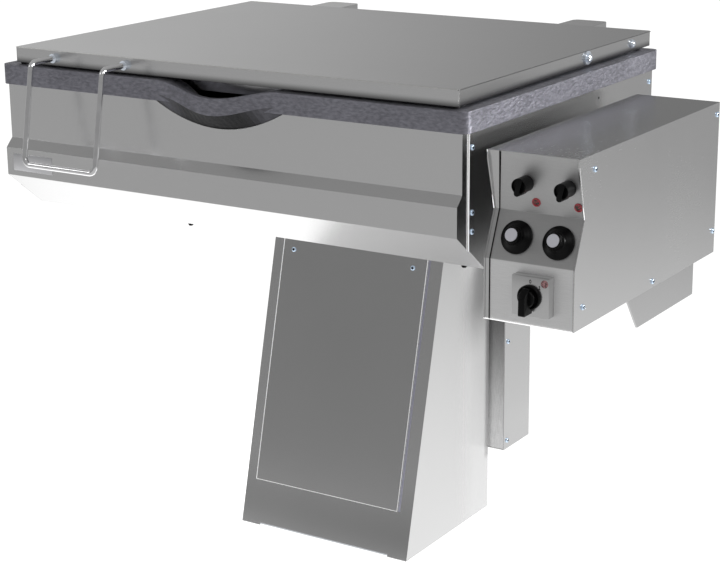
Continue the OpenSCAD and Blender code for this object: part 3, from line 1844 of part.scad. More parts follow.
module thermostat_knob(x) {
  color("black")
    on_fascia(1, thermo_s, x) {
      spindle(12);
      translate([0, 0, knob_lift]) rotate_extrude()
          polygon([
            [0, 0], [thermo_r, 0], [thermo_r, 2.5], [thermo_r * 0.86, 5],
            [thermo_r * 0.66, 8], [cap_r + 4, 12], [cap_r + 2, 16],
            [cap_r + 1.6, thermo_h], [cap_r + fit, thermo_h],
            [cap_r + fit, thermo_h - cap_t], [0, thermo_h - cap_t]
          ]);
    }
}

module thermostat_knob_left() {
  thermostat_knob(thermo_xs[0]);
}

module thermostat_knob_right() {
  thermostat_knob(thermo_xs[1]);
}

module thermostat_cap(x) {
  color("lightgray") on_fascia(1, thermo_s, x) translate([0, 0, knob_lift + thermo_h - cap_t])
        rotate_extrude()
          polygon([[0, 0], [cap_r, 0], [cap_r, cap_t], [cap_r - 1, cap_t + 0.8], [0, cap_t + 0.8]]);
}

module thermostat_cap_left() {
  thermostat_cap(thermo_xs[0]);
}

module thermostat_cap_right() {
  thermostat_cap(thermo_xs[1]);
}

module main_switch_knob() {
  lever_w = 9.4;
  lever_l = 23;
  z0 = plate_h + knob_lift;
  color("black") on_fascia(2, switch_s, switch_x)
      union() {
        spindle(12);
        cylinder(r = spindle_r, h = z0 + 2);
        translate([0, 0, z0]) cylinder(r = switch_r, h = 6);
        translate([0, 0, z0 + 5]) cylinder(r = 12.5, h = 9);
        along_x(-lever_w / 2, lever_w / 2)
          polygon([[-lever_l, z0 + 3], [14, z0 + 3], [14, z0 + 14.5], [-lever_l, z0 + 27]]);
      }
}

base_plate();
pedestal_casing();
pedestal_door();
bearing_cheeks();
cheek_tie_bars();
bearing_bushes();
gearbox();
drive_motor();
frame_bolts();
rear_housing();
rear_housing_cover();
din_rail();
contactors();
terminal_block();
cable_gland();
cross_beam();
box_bracket();
control_box_shell();
control_box_inner_cover();
control_fascia();
casing_screws();
rotary_switches();
thermostats();
switch_plate();
pilot_lights();
limit_switches();
pan_casting();
front_panel();
side_panel_left();
side_panel_right();
rear_panel();
bottom_panel();
pan_fasteners();
insulation_mat();
heating_elements();
element_clamps();
temperature_probes();
tilt_frame();
tilt_shaft();
tilt_gear_segment();
shaft_collars();
hinge_brackets();
hinge_pins();
hinge_springs();
lid_shell();
lid_liner();
lid_side_bars();
lid_bolts();
lid_buffers();
hinge_housings();
lid_handle();
handle_nuts();
drive_pinion();
zone_knob_left();
zone_knob_right();
thermostat_knob_left();
thermostat_knob_right();
thermostat_cap_left();
thermostat_cap_right();
main_switch_knob();
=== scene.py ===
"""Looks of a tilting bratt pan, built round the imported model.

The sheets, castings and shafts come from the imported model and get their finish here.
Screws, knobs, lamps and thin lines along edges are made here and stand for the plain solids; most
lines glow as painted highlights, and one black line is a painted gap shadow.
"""

from __future__ import annotations

import sys

import json
import logging
import math
from dataclasses import dataclass, field, replace
from enum import Enum
from typing import Any, Iterable, Mapping, Sequence

import bmesh
import bpy
import numpy as np
from mathutils import Matrix, Vector

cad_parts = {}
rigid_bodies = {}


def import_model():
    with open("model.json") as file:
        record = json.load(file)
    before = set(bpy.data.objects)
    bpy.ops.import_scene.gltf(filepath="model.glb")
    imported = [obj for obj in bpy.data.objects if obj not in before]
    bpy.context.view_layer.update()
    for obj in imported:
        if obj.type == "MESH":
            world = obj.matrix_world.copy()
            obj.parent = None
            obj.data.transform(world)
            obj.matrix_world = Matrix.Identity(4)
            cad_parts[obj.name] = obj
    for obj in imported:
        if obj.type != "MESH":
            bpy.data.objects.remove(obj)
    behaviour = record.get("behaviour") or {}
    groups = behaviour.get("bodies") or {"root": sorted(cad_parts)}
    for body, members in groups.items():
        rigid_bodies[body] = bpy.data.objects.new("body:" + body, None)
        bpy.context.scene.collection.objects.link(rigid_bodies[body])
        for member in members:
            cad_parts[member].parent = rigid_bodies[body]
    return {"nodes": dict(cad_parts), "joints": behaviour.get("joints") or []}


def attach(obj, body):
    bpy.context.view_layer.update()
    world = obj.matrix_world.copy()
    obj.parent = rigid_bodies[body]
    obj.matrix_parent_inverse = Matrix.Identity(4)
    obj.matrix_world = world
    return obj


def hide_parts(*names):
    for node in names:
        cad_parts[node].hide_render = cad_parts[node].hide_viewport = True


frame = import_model()

LOG = logging.getLogger("bratt_pan")
MM = 0.001

Point = tuple[float, float, float]
Colour = tuple[float, float, float]

UP: Point = (0.0, 0.0, 1.0)
FORWARD: Point = (0.0, -1.0, 0.0)
RIGHTWARD: Point = (1.0, 0.0, 0.0)


# Shader maths


class Sock:
    """An output socket of a shader node that can be used in Python expressions."""

    def __init__(self, desk: NodeDesk, socket: bpy.types.NodeSocket) -> None:
        """Wraps a socket.

        Args:
            desk: The desk that the socket's node stands on.
            socket: The output socket.
        """
        self.desk = desk
        self.socket = socket

    def _math(self, operation: str, *values: Any) -> Sock:
        """Adds a Math node.

        Args:
            operation: The Math node's operation.
            values: Its operands, as sockets or numbers.

        Returns:
            The node's result.
        """
        return self.desk.add(
            "ShaderNodeMath", {"operation": operation}, dict(enumerate(values))
        )

    def __add__(self, other: Sock | float) -> Sock:
        """Self plus other."""
        return self._math("ADD", self, other)

    def __sub__(self, other: Sock | float) -> Sock:
        """Self minus other."""
        return self._math("SUBTRACT", self, other)

    def __rsub__(self, other: float) -> Sock:
        """Other minus self."""
        return self._math("SUBTRACT", other, self)

    def __mul__(self, other: Sock | float) -> Sock:
        """Self times other."""
        return self._math("MULTIPLY", self, other)

    def __pow__(self, other: float) -> Sock:
        """Self to the power of other."""
        return self._math("POWER", self, other)

    def steps(self, low: float, high: float) -> Sock:
        """A smooth rise from 0 at low to 1 at high.

        Args:
            low: The value at which the rise begins.
            high: The value at which it ends.

        Returns:
            The risen value.
        """
        return self.desk.add(
            "ShaderNodeMapRange",
            {"interpolation_type": "SMOOTHSTEP"},
            {"Value": self, "From Min": low, "From Max": high},
        )

    def spread(self) -> Sock:
        """The middle of a noise's range, stretched from 0 to 1."""
        return self.steps(0.3, 0.7)

    def size(self) -> Sock:
        """The value without its sign."""
        return self._math("ABSOLUTE", self)

    def most(self, other: Sock | float) -> Sock:
        """The larger of self and other."""
        return self._math("MAXIMUM", self, other)


class NodeDesk:
    """A material's or a world's nodes, added one at a time."""

    def __init__(self, tree: bpy.types.NodeTree) -> None:
        """Clears the tree.

        Args:
            tree: The tree to work in.
        """
        self.tree = tree
        tree.nodes.clear()

    def add(
        self,
        kind: str,
        settings: Mapping[str, Any] | None = None,
        sockets: Mapping[str | int, Any] | None = None,
        out: str | int = 0,
    ) -> Sock:
        """Adds a node of any type.

        Args:
            kind: The node's type name.
            settings: Its settings, set before the sockets. "stops" holds a colour ramp's stops.
            sockets: The values or links of its inputs, by name or number.
            out: The output to return, by name or number.

        Returns:
            The chosen output. A node without outputs returns a wrapper that holds none.
        """
        node = self.tree.nodes.new(kind)
        for key, value in (settings or {}).items():
            if key == "stops":
                self._set_stops(node.color_ramp, value)
            else:
                setattr(node, key, value)
        for key, value in (sockets or {}).items():
            target = node.inputs[key]
            if isinstance(value, Sock):
                self.tree.links.new(value.socket, target)
            elif target.type == "RGBA" and len(value) == 3:
                target.default_value = (*value, 1.0)
            else:
                target.default_value = value
        return Sock(self, node.outputs[out] if len(node.outputs) else None)

    @staticmethod
    def _set_stops(ramp: bpy.types.ColorRamp, stops: Sequence[tuple[float, Colour]]) -> None:
        """Gives a new colour ramp its stops.

        Args:
            ramp: The ramp, which has two stops to start with.
            stops: Two or more places with their colours, from the lowest place up.
        """
        for place, _ in stops[2:]:
            ramp.elements.new(place)
        for element, (place, colour) in zip(ramp.elements, stops, strict=True):
            element.position = place
            element.color = (*colour, 1.0)

    def place(self, scale: Point = (1, 1, 1), shift: Point = (0, 0, 0)) -> Sock:
        """Object coordinates, stretched and shifted.

        Args:
            scale: How often the pattern repeats along each axis.
            shift: The pattern's offset.

        Returns:
            The vector.
        """
        raw = self.add("ShaderNodeTexCoord", out="Object")
        return self.add(
            "ShaderNodeMapping",
            {"vector_type": "POINT"},
            {"Vector": raw, "Scale": scale, "Location": shift},
        )

    def parts(self, vector: Sock) -> tuple[Sock, Sock, Sock]:
        """Takes a vector apart.

        Args:
            vector: The vector.

        Returns:
            Its X, Y and Z.
        """
        outputs = self.add("ShaderNodeSeparateXYZ", None, {"Vector": vector}).socket.node.outputs
        return Sock(self, outputs[0]), Sock(self, outputs[1]), Sock(self, outputs[2])

    def noise(self, where: Sock, scale: float, detail: float = 2.0, rough: float = 0.5) -> Sock:
        """A noise value about 0.5.

        Args:
            where: The coordinates.
            scale: How fine the noise is.
            detail: Octaves.
            rough: How strong the finer octaves are.

        Returns:
            The noise.
        """
        return self.add(
            "ShaderNodeTexNoise",
            sockets={"Vector": where, "Scale": scale, "Detail": detail, "Roughness": rough},
        )

    def toward(self, direction: Point) -> Sock:
        """Finds the faces that look one way.

        Args:
            direction: The way they look.

        Returns:
            1 on those faces and 0 on all others.
        """
        normal = self.add("ShaderNodeTexCoord", out="Normal")
        cosine = self.add(
            "ShaderNodeVectorMath",
            {"operation": "DOT_PRODUCT"},
            {0: normal, 1: direction},
            out="Value",
        )
        return cosine.steps(0.5, 0.8)

    def blend(self, share: Sock | float, first: Any, second: Any) -> Sock:
        """Mixes two colours.

        Args:
            share: The share of the second colour.
            first: A colour or a colour socket.
            second: A colour or a colour socket.

        Returns:
            The mixed colour.
        """
        return self.add(
            "ShaderNodeMix",
            {"data_type": "RGBA"},
            {0: share, 6: first, 7: second},
            out=2,
        )

    def bump(
        self, height: Sock, depth: float, strength: float = 1.0, soft_edge: float = 0.0
    ) -> Sock:
        """A normal from a height, on an edge that is softened first.

        Args:
            height: The height from 0 to 1.
            depth: The real depth of that step in metres.
            strength: The share of the effect.
            soft_edge: The radius of the softened edge in metres, or 0.

        Returns:
            The normal.
        """
        sockets: dict[str | int, Any] = {
            "Height": height,
            "Distance": depth,
            "Strength": strength,
        }
        if soft_edge:
            sockets["Normal"] = self.add("ShaderNodeBevel", {"samples": 4}, {"Radius": soft_edge})
        return self.add("ShaderNodeBump", None, sockets)

    def surface(self, sockets: Mapping[str | int, Any]) -> None:
        """Ends the tree in a Principled shader.

        Args:
            sockets: The shader's values and links.
        """
        shader = self.add("ShaderNodeBsdfPrincipled", None, sockets)
        self.add("ShaderNodeOutputMaterial", None, {"Surface": shader})


# Finishes


class Grain(Enum):
    """The axis along which the brush ran over a sheet."""

    ACROSS = 0
    BACK = 1
    UPRIGHT = 2


def shade(colour: Colour, share: float) -> Colour:
    """A colour made darker or brighter.

    Args:
        colour: The colour.
        share: What its values are multiplied by.

    Returns:
        The new colour, with no value above 1.
    """
    red, green, blue = (min(1.0, value * share) for value in colour)
    return red, green, blue


@dataclass(frozen=True)
class Finish:
    """What a surface looks like. Each kind draws its own nodes."""

    title: str

    def material(self) -> bpy.types.Material:
        """The finish as a material, made once.

        Returns:
            The material.
        """
        found = bpy.data.materials.get(self.title)
        if found is None:
            found = bpy.data.materials.new(self.title)
            found.use_nodes = True
            self.draw(NodeDesk(found.node_tree))
        return found

    def draw(self, desk: NodeDesk) -> None:
        """Draws the nodes.

        Args:
            desk: The material's nodes.
        """
        raise NotImplementedError


@dataclass(frozen=True)
class Fade:
    """A change of tone between two heights, on the faces that look one way: painted light and shade.
    """

    low: float
    high: float
    below: float = 1.0
    above: float = 1.0
    facing: Point | None = None

    def share(self, desk: NodeDesk) -> Sock:
        """The share of the sheet's own tone that is left at a place.

        Args:
            desk: The material's nodes.

        Returns:
            The share.
        """
        _, _, height = desk.parts(desk.place())
        tone = height.steps(self.low, self.high) * (self.above - self.below) + self.below
        if self.facing is None:
            return tone
        there = desk.toward(self.facing)
        return tone * there + (1.0 - there)


@dataclass(frozen=True)
class Matt:
    """A scuffed, duller band towards the rear edge of the faces that look one way."""

    start: float
    end: float
    facing: Point
    left: float = 0.15

    def metal(self, desk: NodeDesk) -> Sock:
        """How metallic the sheet still looks at a place.

        Args:
            desk: The material's nodes.

        Returns:
            The share.
        """
        _, back, _ = desk.parts(desk.place())
        band = back.steps(self.start, self.end) * desk.toward(self.facing)
        return 1.0 - band * (1.0 - self.left)


@dataclass(frozen=True)
class BrushedSheet(Finish):
    """Stainless sheet with a faint brushed grain, soft streaks and handling marks."""

    BRUSH_FINE = 900.0
    BRUSH_LONG = 60.0
    BRUSH_DEPTH = 0.000006

    tint: Colour = (0.62, 0.62, 0.62)
    rough: float = 0.17
    grain: Grain = Grain.UPRIGHT
    streak: float = 0.02
    edge: float = 0.0009
    fades: tuple[Fade, ...] = ()
    matt: Matt | None = None
    metal: float = 1.0

    def draw(self, desk: NodeDesk) -> None:
        """Draws brush lines along the grain, a fine speckle, a faint cloud and any fade, which is
        painted light and shade.

        Args:
            desk: The material's nodes.
        """
        brush = [self.BRUSH_FINE] * 3
        brush[self.grain.value] = self.BRUSH_LONG
        lines = desk.noise(desk.place(scale=tuple(brush)), 1.0)
        speck = desk.noise(desk.place(), 520.0, 1.0)
        cloud = desk.noise(desk.place(), 4.0, 3.0)
        tone = lines * 0.45 + speck * 0.25 + cloud * 0.30
        low, high = shade(self.tint, 1 - self.streak), shade(self.tint, 1 + self.streak)
        base = desk.blend(tone.spread(), low, high)
        # Each fade scales the tone: painted light and shade.
        for fade in self.fades:
            base = desk.add(
                "ShaderNodeVectorMath",
                {"operation": "SCALE"},
                {0: base, "Scale": fade.share(desk)},
            )
        desk.surface(
            {
                "Base Color": base,
                "Metallic": self.matt.metal(desk) if self.matt else self.metal,
                "Roughness": lines * 0.05 + cloud * 0.05 + (self.rough - 0.05),
                "Normal": desk.bump(lines * 0.6 + speck * 0.4, self.BRUSH_DEPTH, 0.35, self.edge),
            }
        )


@dataclass(frozen=True)
class CutEdge(Finish):
    """A cut or folded sheet edge whose brightness is a painted highlight: it glows where the light
    would catch it.
    """

    tint: Colour = (0.9, 0.9, 0.9)
    glow: float = 0.45

    def draw(self, desk: NodeDesk) -> None:
        """Draws saw marks in the tone.

        Args:
            desk: The material's nodes.
        """
        marks = desk.noise(desk.place(), 300.0, 2.0)
        base = desk.blend(marks.spread(), shade(self.tint, 0.9), self.tint)
        desk.surface(
            {
                "Base Color": base,
                "Metallic": 0.6,
                "Roughness": marks * 0.1 + 0.3,
                # Painted highlight: the emission makes the edge glow.
                "Emission Color": base,
                "Emission Strength": self.glow,
            }
        )


@dataclass(frozen=True)
class CastPan(Finish):
    """Cast iron: a lumpy sand skin outside, a ground and seasoned cooking face inside."""

    tint: Colour = (0.27, 0.268, 0.305)
    rough: float = 0.47
    lump: float = 0.0019
    pitch: float = 200.0
    well_at: tuple[float, float] = (0.0, -0.0865)
    well_half: tuple[float, float] = (0.411, 0.3025)
    well_edge: float = 0.004

    def draw(self, desk: NodeDesk) -> None:
        """Draws the skin's lumps, painted shade on the undersides and the ground face in the well.

        Args:
            desk: The material's nodes.
        """
        where = desk.place()
        across, back, _ = desk.parts(where)
        in_width, in_depth = (
            1.0 - (value - middle).size().steps(half, half + self.well_edge)
            for value, middle, half in zip(
                (across, back), self.well_at, self.well_half, strict=True
            )
        )
        well = in_width * in_depth
        _, _, up = desk.parts(desk.add("ShaderNodeTexCoord", out="Normal"))
        # Painted shade: faces that look down are drawn near black.
        under = 1.0 - up.steps(-0.55, -0.12)
        lumps = desk.noise(desk.place(scale=(0.55, 0.55, 1.1)), self.pitch, 2.5)
        grit = desk.noise(where, self.pitch * 3.6, 2.0)
        drift = desk.noise(where, 7.0, 3.0)
        rings = desk.add(
            "ShaderNodeTexWave",
            {"wave_type": "RINGS", "rings_direction": "Z"},
            {
                "Vector": desk.place(shift=(-self.well_at[0], -self.well_at[1], 0.0)),
                "Scale": 190.0,
                "Distortion": 5.0,
                "Detail": 2.0,
                "Detail Scale": 2.0,
            },
            out=1,
        )
        height = (lumps * 0.8 + grit * 0.2) * (1.0 - well) + (rings * 0.10 + 0.5) * well
        skin = desk.blend(
            (lumps * 0.6 + drift * 0.4).spread(),
            shade(self.tint, 0.72),
            shade(self.tint, 1.25),
        )
        raw = desk.blend(under, skin, (0.05, 0.05, 0.052))
        bare = desk.blend(
            (drift * 0.8 + rings * 0.2).steps(0.3, 0.72), (0.10, 0.095, 0.09), (0.25, 0.24, 0.235)
        )
        desk.surface(
            {
                "Base Color": desk.blend(well, raw, bare),
                "Metallic": 0.85,
                "Roughness": grit * 0.16 + drift * 0.10 + (self.rough - 0.13) - well * 0.06,
                "Normal": desk.bump(height, self.lump, 1.0, 0.0016),
            }
        )


@dataclass(frozen=True)
class Plated(Finish):
    """Bright plated or polished metal; where it glows, the glow is a painted glint."""

    tint: Colour = (0.74, 0.80, 0.88)
    rough: float = 0.16
    glow: float = 0.0

    def draw(self, desk: NodeDesk) -> None:
        """Draws a faint orange peel and a thin haze.

        Args:
            desk: The material's nodes.
        """
        peel = desk.noise(desk.place(), 900.0, 2.0)
        haze = desk.noise(desk.place(), 60.0, 3.0)
        base = desk.blend(haze.spread(), shade(self.tint, 0.9), self.tint)
        desk.surface(
            {
                "Base Color": base,
                "Metallic": 1.0,
                "Roughness": haze * 0.12 + (self.rough - 0.05),
                # Painted glint: the emission makes the metal glow.
                "Emission Color": base,
                "Emission Strength": self.glow,
                "Normal": desk.bump(peel, 0.00002, 0.4, 0.0003),
            }
        )


@dataclass(frozen=True)
class Zinc(Finish):
    """Zinc-coated steel plate with a faint spangle."""

    tint: Colour = (0.50, 0.52, 0.55)
    rough: float = 0.38

    def draw(self, desk: NodeDesk) -> None:
        """Draws spangle cells with their own tones and a dusty cloud.

        Args:
            desk: The material's nodes.
        """
        cells = desk.add(
            "ShaderNodeTexVoronoi",
            {"feature": "F1"},
            {"Vector": desk.place(), "Scale": 110.0},
            out="Color",
        )
        grey = desk.add("ShaderNodeRGBToBW", None, {"Color": cells})
        cloud = desk.noise(desk.place(), 9.0, 4.0)
        base = desk.blend(
            grey * 0.6 + cloud * 0.4, shade(self.tint, 0.86), shade(self.tint, 1.1)
        )
        desk.surface(
            {
                "Base Color": base,
                "Metallic": 0.9,
                "Roughness": grey * 0.14 + cloud * 0.1 + (self.rough - 0.12),
                "Normal": desk.bump(cloud, 0.0002, 0.3, 0.0008),
            }
        )


@dataclass(frozen=True)
class Enamel(Finish):
    """Sprayed machine enamel with orange peel and a film of dust."""

    tint: Colour = (0.12, 0.15, 0.17)
    rough: float = 0.34

    def draw(self, desk: NodeDesk) -> None:
        """Draws the peel of the spray and a dull film of dust.

        Args:
            desk: The material's nodes.
        """
        peel = desk.noise(desk.place(), 420.0, 2.0)
        dust = desk.noise(desk.place(), 14.0, 4.0)
        desk.surface(
            {
                "Base Color": desk.blend(
                    dust.steps(0.45, 0.8), self.tint, tuple(c * 1.7 + 0.03 for c in self.tint)
                ),
                "Roughness": dust * 0.3 + (self.rough - 0.12),
                "Coat Weight": 0.3,
                "Coat Roughness": 0.2,
                "Normal": desk.bump(peel, 0.00025, 0.45, 0.001),
            }
        )


@dataclass(frozen=True)
class Machined(Finish):
    """Turned or cut steel, bronze or copper under a film of oil."""

    tint: Colour = (0.30, 0.29, 0.28)
    rough: float = 0.30
    film: Colour = (0.10, 0.085, 0.065)

    def draw(self, desk: NodeDesk) -> None:
        """Draws tool lines round the tilt axis' direction and patches of oil.

        Args:
            desk: The material's nodes.
        """
        lines = desk.noise(desk.place(scale=(1600.0, 60.0, 60.0)), 1.0, 2.0)
        oil = desk.noise(desk.place(), 22.0, 4.0, 0.6)
        desk.surface(
            {
                "Base Color": desk.blend(oil.steps(0.48, 0.72), self.tint, self.film),
                "Metallic": 0.95,
                "Roughness": lines * 0.12 + oil * 0.14 + (self.rough - 0.13),
                "Normal": desk.bump(lines, 0.00004, 0.5, 0.0004),
            }
        )


@dataclass(frozen=True)
class Moulded(Finish):
    """Moulded plastic or rubber with a spark-eroded grain."""

    tint: Colour = (0.012, 0.012, 0.013)
    rough: float = 0.42
    grain: float = 0.00008
    wear: float = 1.8
    gloss: float = 0.5

    def draw(self, desk: NodeDesk) -> None:
        """Draws a fine grain and paler rubbed patches.

        Args:
            desk: The material's nodes.
        """
        grain = desk.noise(desk.place(), 1500.0, 3.0)
        rub = desk.noise(desk.place(), 70.0, 3.0)
        desk.surface(
            {
                "Base Color": desk.blend(
                    rub.steps(0.5, 0.85), self.tint, shade(self.tint, self.wear)
                ),
                "Roughness": grain * 0.12 + rub * 0.12 + (self.rough - 0.12),
                "Specular IOR Level": self.gloss,
                "Normal": desk.bump(grain, self.grain, 0.5, 0.0004),
            }
        )


@dataclass(frozen=True)
class LampLens(Finish):
    """Red moulded lens, with dark specks where its prisms are."""

    tint: Colour = (0.52, 0.05, 0.07)
    deep: Colour = (0.02, 0.04, 0.025)
    specks: float = 0.5

    def draw(self, desk: NodeDesk) -> None:
        """Draws the dark prisms behind the red and a glossy coat.

        Args:
            desk: The material's nodes.
        """
        speck = desk.noise(desk.place(), 560.0, 1.0)
        base = desk.blend(speck.steps(self.specks, self.specks + 0.06), self.tint, self.deep)
        desk.surface(
            {
                "Base Color": base,
                "Roughness": speck * 0.12 + 0.2,
                "Coat Weight": 0.3,
                "Coat Roughness": 0.12,
                "Normal": desk.bump(speck, 0.0002, 0.35, 0.0003),
            }
        )


@dataclass(frozen=True)
class Wool(Finish):
    """Mineral wool: matted fibres, straw to white."""

    tint: Colour = (0.50, 0.45, 0.33)

    def draw(self, desk: NodeDesk) -> None:
        """Draws long warped fibres.

        Args:
            desk: The material's nodes.
        """
        fibre = desk.noise(desk.place(scale=(120.0, 700.0, 700.0)), 1.0, 5.0, 0.7)
        clump = desk.noise(desk.place(), 26.0, 4.0)
        desk.surface(
            {
                "Base Color": desk.blend(
                    fibre * 0.5 + clump * 0.5, shade(self.tint, 0.6), shade(self.tint, 1.35)
                ),
                "Roughness": clump * 0.1 + 0.85,
                "Normal": desk.bump(fibre * 0.6 + clump * 0.4, 0.003, 0.8),
            }
        )


@dataclass(frozen=True)
class HeatedSheath(Finish):
    """A heating rod's sheath, blued and browned in bands by its own heat."""

    stops: tuple[tuple[float, Colour], ...] = (
        (0.30, (0.11, 0.08, 0.05)),
        (0.46, (0.07, 0.075, 0.12)),
        (0.68, (0.13, 0.13, 0.14)),
    )

    def draw(self, desk: NodeDesk) -> None:
        """Draws heat colours in soft bands along the rod.

        Args:
            desk: The material's nodes.
        """
        band = desk.noise(desk.place(scale=(9.0, 40.0, 40.0)), 1.0, 2.0)
        scale = desk.noise(desk.place(), 500.0, 3.0)
        base = desk.add("ShaderNodeValToRGB", {"stops": self.stops}, {"Fac": band})
        desk.surface(
            {
                "Base Color": base,
                "Metallic": 0.8,
                "Roughness": scale * 0.3 + 0.3,
                "Normal": desk.bump(scale, 0.0001, 0.5),
            }
        )


SHEET = BrushedSheet("stainless_brushed_upright", rough=0.22)
SHEET_ACROSS = BrushedSheet("stainless_brushed_across", grain=Grain.ACROSS)
SHEET_BACK = BrushedSheet("stainless_brushed_back", grain=Grain.BACK, tint=(0.50, 0.50, 0.50))
# Painted shade: the box's upward faces are darker.
BOX_SHEET = BrushedSheet(
    "box_sheet",
    grain=Grain.BACK,
    tint=(0.585, 0.585, 0.585),
    rough=0.26,
    fades=(Fade(low=0.0, high=0.1, above=0.72, facing=UP),),
)
# Painted light and shade: the fascia's lowest section is brighter, its middle section darker and its
# top section a little darker.
FASCIA_SHEET = BrushedSheet(
    "fascia_sheet",
    grain=Grain.ACROSS,
    tint=(0.66, 0.66, 0.66),
    rough=0.46,
    streak=0.04,
    fades=(
        Fade(low=0.656, high=0.658, below=1.30, above=0.72),
        Fade(low=0.725, high=0.727, above=1.30),
    ),
    metal=0.75,
)
# Painted light and shade: the housing's front faces are brighter low down and darker higher up.
HOUSE_SHEET = BrushedSheet(
    "housing_sheet",
    rough=0.3,
    streak=0.15,
    fades=(Fade(low=0.14, high=0.40, below=1.2, above=0.32, facing=FORWARD),),
)
GAP_SHEET = BrushedSheet("gap_sheet", tint=(0.62, 0.62, 0.62), rough=0.24)
# Painted shade: the lid's faces below 0.874 m, along the lower skirt, are dark.
LID_SHEET = BrushedSheet(
    "lid_sheet",
    grain=Grain.ACROSS,
    tint=(0.60, 0.60, 0.60),
    rough=0.24,
    fades=(Fade(low=0.8735, high=0.8865, below=0.25),),
)
DOOR_SHEET = BrushedSheet("door_sheet", tint=(0.585, 0.585, 0.585), rough=0.2)
# Painted shade: the casing's front faces darken towards the floor.
CASING_SHEET = BrushedSheet(
    "casing_sheet",
    tint=(0.63, 0.63, 0.63),
    rough=0.25,
    fades=(Fade(low=0.0, high=0.16, below=0.52, facing=FORWARD),),
    matt=Matt(start=0.02, end=0.11, facing=RIGHTWARD),
)
# Painted highlights: these finishes glow along sheet edges, and the bluish bead's glow paints the
# light on the door's fold.
CUT = CutEdge("cut_edge_painted_highlight", glow=1.3)
FOLD = CutEdge("folded_edge", glow=0.65)
DULL_FOLD = CutEdge("dull_folded_edge", tint=(0.55, 0.55, 0.52), glow=0.2)
BEAD = CutEdge("bluish_bead", tint=(0.42, 0.42, 0.50), glow=0.12)
# Screws whose heads look down are drawn matt black, so they show as dark spots under the pan.
BLACK_SCREW = Moulded("black_hanging_screw", tint=(0.003, 0.003, 0.003), rough=0.8, gloss=0.03)
# Painted shade: the drive recesses of the screw heads are black.
RECESS = Moulded("drive_recess_shade", tint=(0.004, 0.004, 0.005), rough=0.6, gloss=0.1)
IRON = CastPan("pan_iron")
BRIGHT = Plated("polished_rod", tint=(0.93, 0.93, 0.94), rough=0.06)
# Painted glints: the screw and bolt heads glow a little.
SCREW_STEEL = Plated("screw_steel", tint=(0.64, 0.78, 0.95), rough=0.2, glow=0.25)
BOLT_STEEL = Plated("lid_bolt_steel", tint=(0.80, 0.86, 0.94), rough=0.10, glow=0.12)
PLATE_PALE = BrushedSheet("blank_plate_sheet", grain=Grain.ACROSS, tint=(0.78, 0.78, 0.80), rough=0.3)
SEAM = Moulded("dark_seam", tint=(0.05, 0.05, 0.05), rough=0.6)
# Painted shadow: a black rod laid in the fascia's left gap.
GAP_SHADE = Moulded("gap_shade", tint=(0.002, 0.002, 0.002), rough=0.8, gloss=0.05)
PLATE_ZINC = Zinc("zinc_plate")
MACHINE_ENAMEL = Enamel("machine_enamel")
MOTOR_ENAMEL = Enamel("motor_enamel", tint=(0.09, 0.10, 0.115))
GEAR_STEEL = Machined("gear_steel")
SHAFT_STEEL = Machined("shaft_steel", tint=(0.42, 0.42, 0.43), rough=0.24)
BUSH_BRONZE = Machined("bush_bronze", tint=(0.50, 0.30, 0.12), film=(0.16, 0.09, 0.03))
PROBE_COPPER = Machined("probe_copper", tint=(0.58, 0.30, 0.19), film=(0.2, 0.1, 0.06))
BLACK = Moulded("black_moulding", tint=(0.004, 0.004, 0.0045), rough=0.5, gloss=0.3)
KNOB_BLACK = Moulded("knob_moulding", tint=(0.0012, 0.0012, 0.0014), rough=0.36, gloss=0.16)
GREY = Moulded("grey_moulding", tint=(0.34, 0.35, 0.39), rough=0.36, wear=1.12)
CAP_GREY = Moulded("cap_moulding", tint=(0.74, 0.74, 0.80), rough=0.45, wear=1.06)
SWITCH_GREY = BrushedSheet("switch_plate_grey", grain=Grain.ACROSS, tint=(0.66, 0.66, 0.66), rough=0.3)
RUBBER = Moulded("buffer_rubber", tint=(0.02, 0.02, 0.02), rough=0.7, grain=0.0002)
PRINT_BLACK = Moulded("printed_mark", tint=(0.004, 0.004, 0.004), rough=0.5, wear=1.3)
LENS = LampLens("lamp_lens", specks=0.45)
LENS_RING = LampLens("lamp_ring", tint=(0.62, 0.07, 0.09), specks=0.66)
PALE_LENS = LampLens("pale_lamp_lens", tint=(0.52, 0.26, 0.27), deep=(0.14, 0.06, 0.06))
WOOL = Wool("mineral_wool")
SHEATH = HeatedSheath("heated_sheath")


# Mesh tools

# Points nearer than these are one: to the axis of a turn, in a new mesh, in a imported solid
ON_AXIS = 1e-9
WELD = 1e-7
SAME_POINT = 1e-6

# The knobs' spindles, in millimetres
SPINDLE_R = 3.0
SPINDLE_DEPTH = 12.0
SPINDLE_GRIP = 1.0

ROD_SIDES = 20


def show(name: str, mesh: bpy.types.Mesh, finish: Finish | None = None) -> bpy.types.Object:
    """Links a mesh to the scene as an object at the origin.

    Args:
        name: The piece's name.
        mesh: Its mesh, in the shared frame.
        finish: Its finish, or None where the mesh has its own.

    Returns:
        The object.
    """
    mesh.name = name
    piece = bpy.data.objects.new(name, mesh)
    bpy.context.scene.collection.objects.link(piece)
    if finish is not None:
        mesh.materials.clear()
        mesh.materials.append(finish.material())
    return piece


def settle(
    piece: bpy.types.Object,
    body: str,
    stands_for: Sequence[str] = (),
) -> None:
    """Ties a finished piece to its body and the nodes it stands for.

    Args:
        piece: The piece.
        body: The body it moves with.
        stands_for: The nodes that it replaces.
    """
    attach(piece, body)
    if stands_for:
        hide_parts(*stands_for)
    LOG.info("%s on %s: %d faces", piece.name, body, len(piece.data.polygons))


def smooth(mesh: bpy.types.Mesh, degrees: float = 32.0) -> None:
    """Shades a mesh smooth, with its corners kept sharp.

    Args:
        mesh: The mesh.
        degrees: The angle past which an edge is a corner.
    """
    mesh.shade_smooth()
    mesh.set_sharp_from_angle(angle=math.radians(degrees))


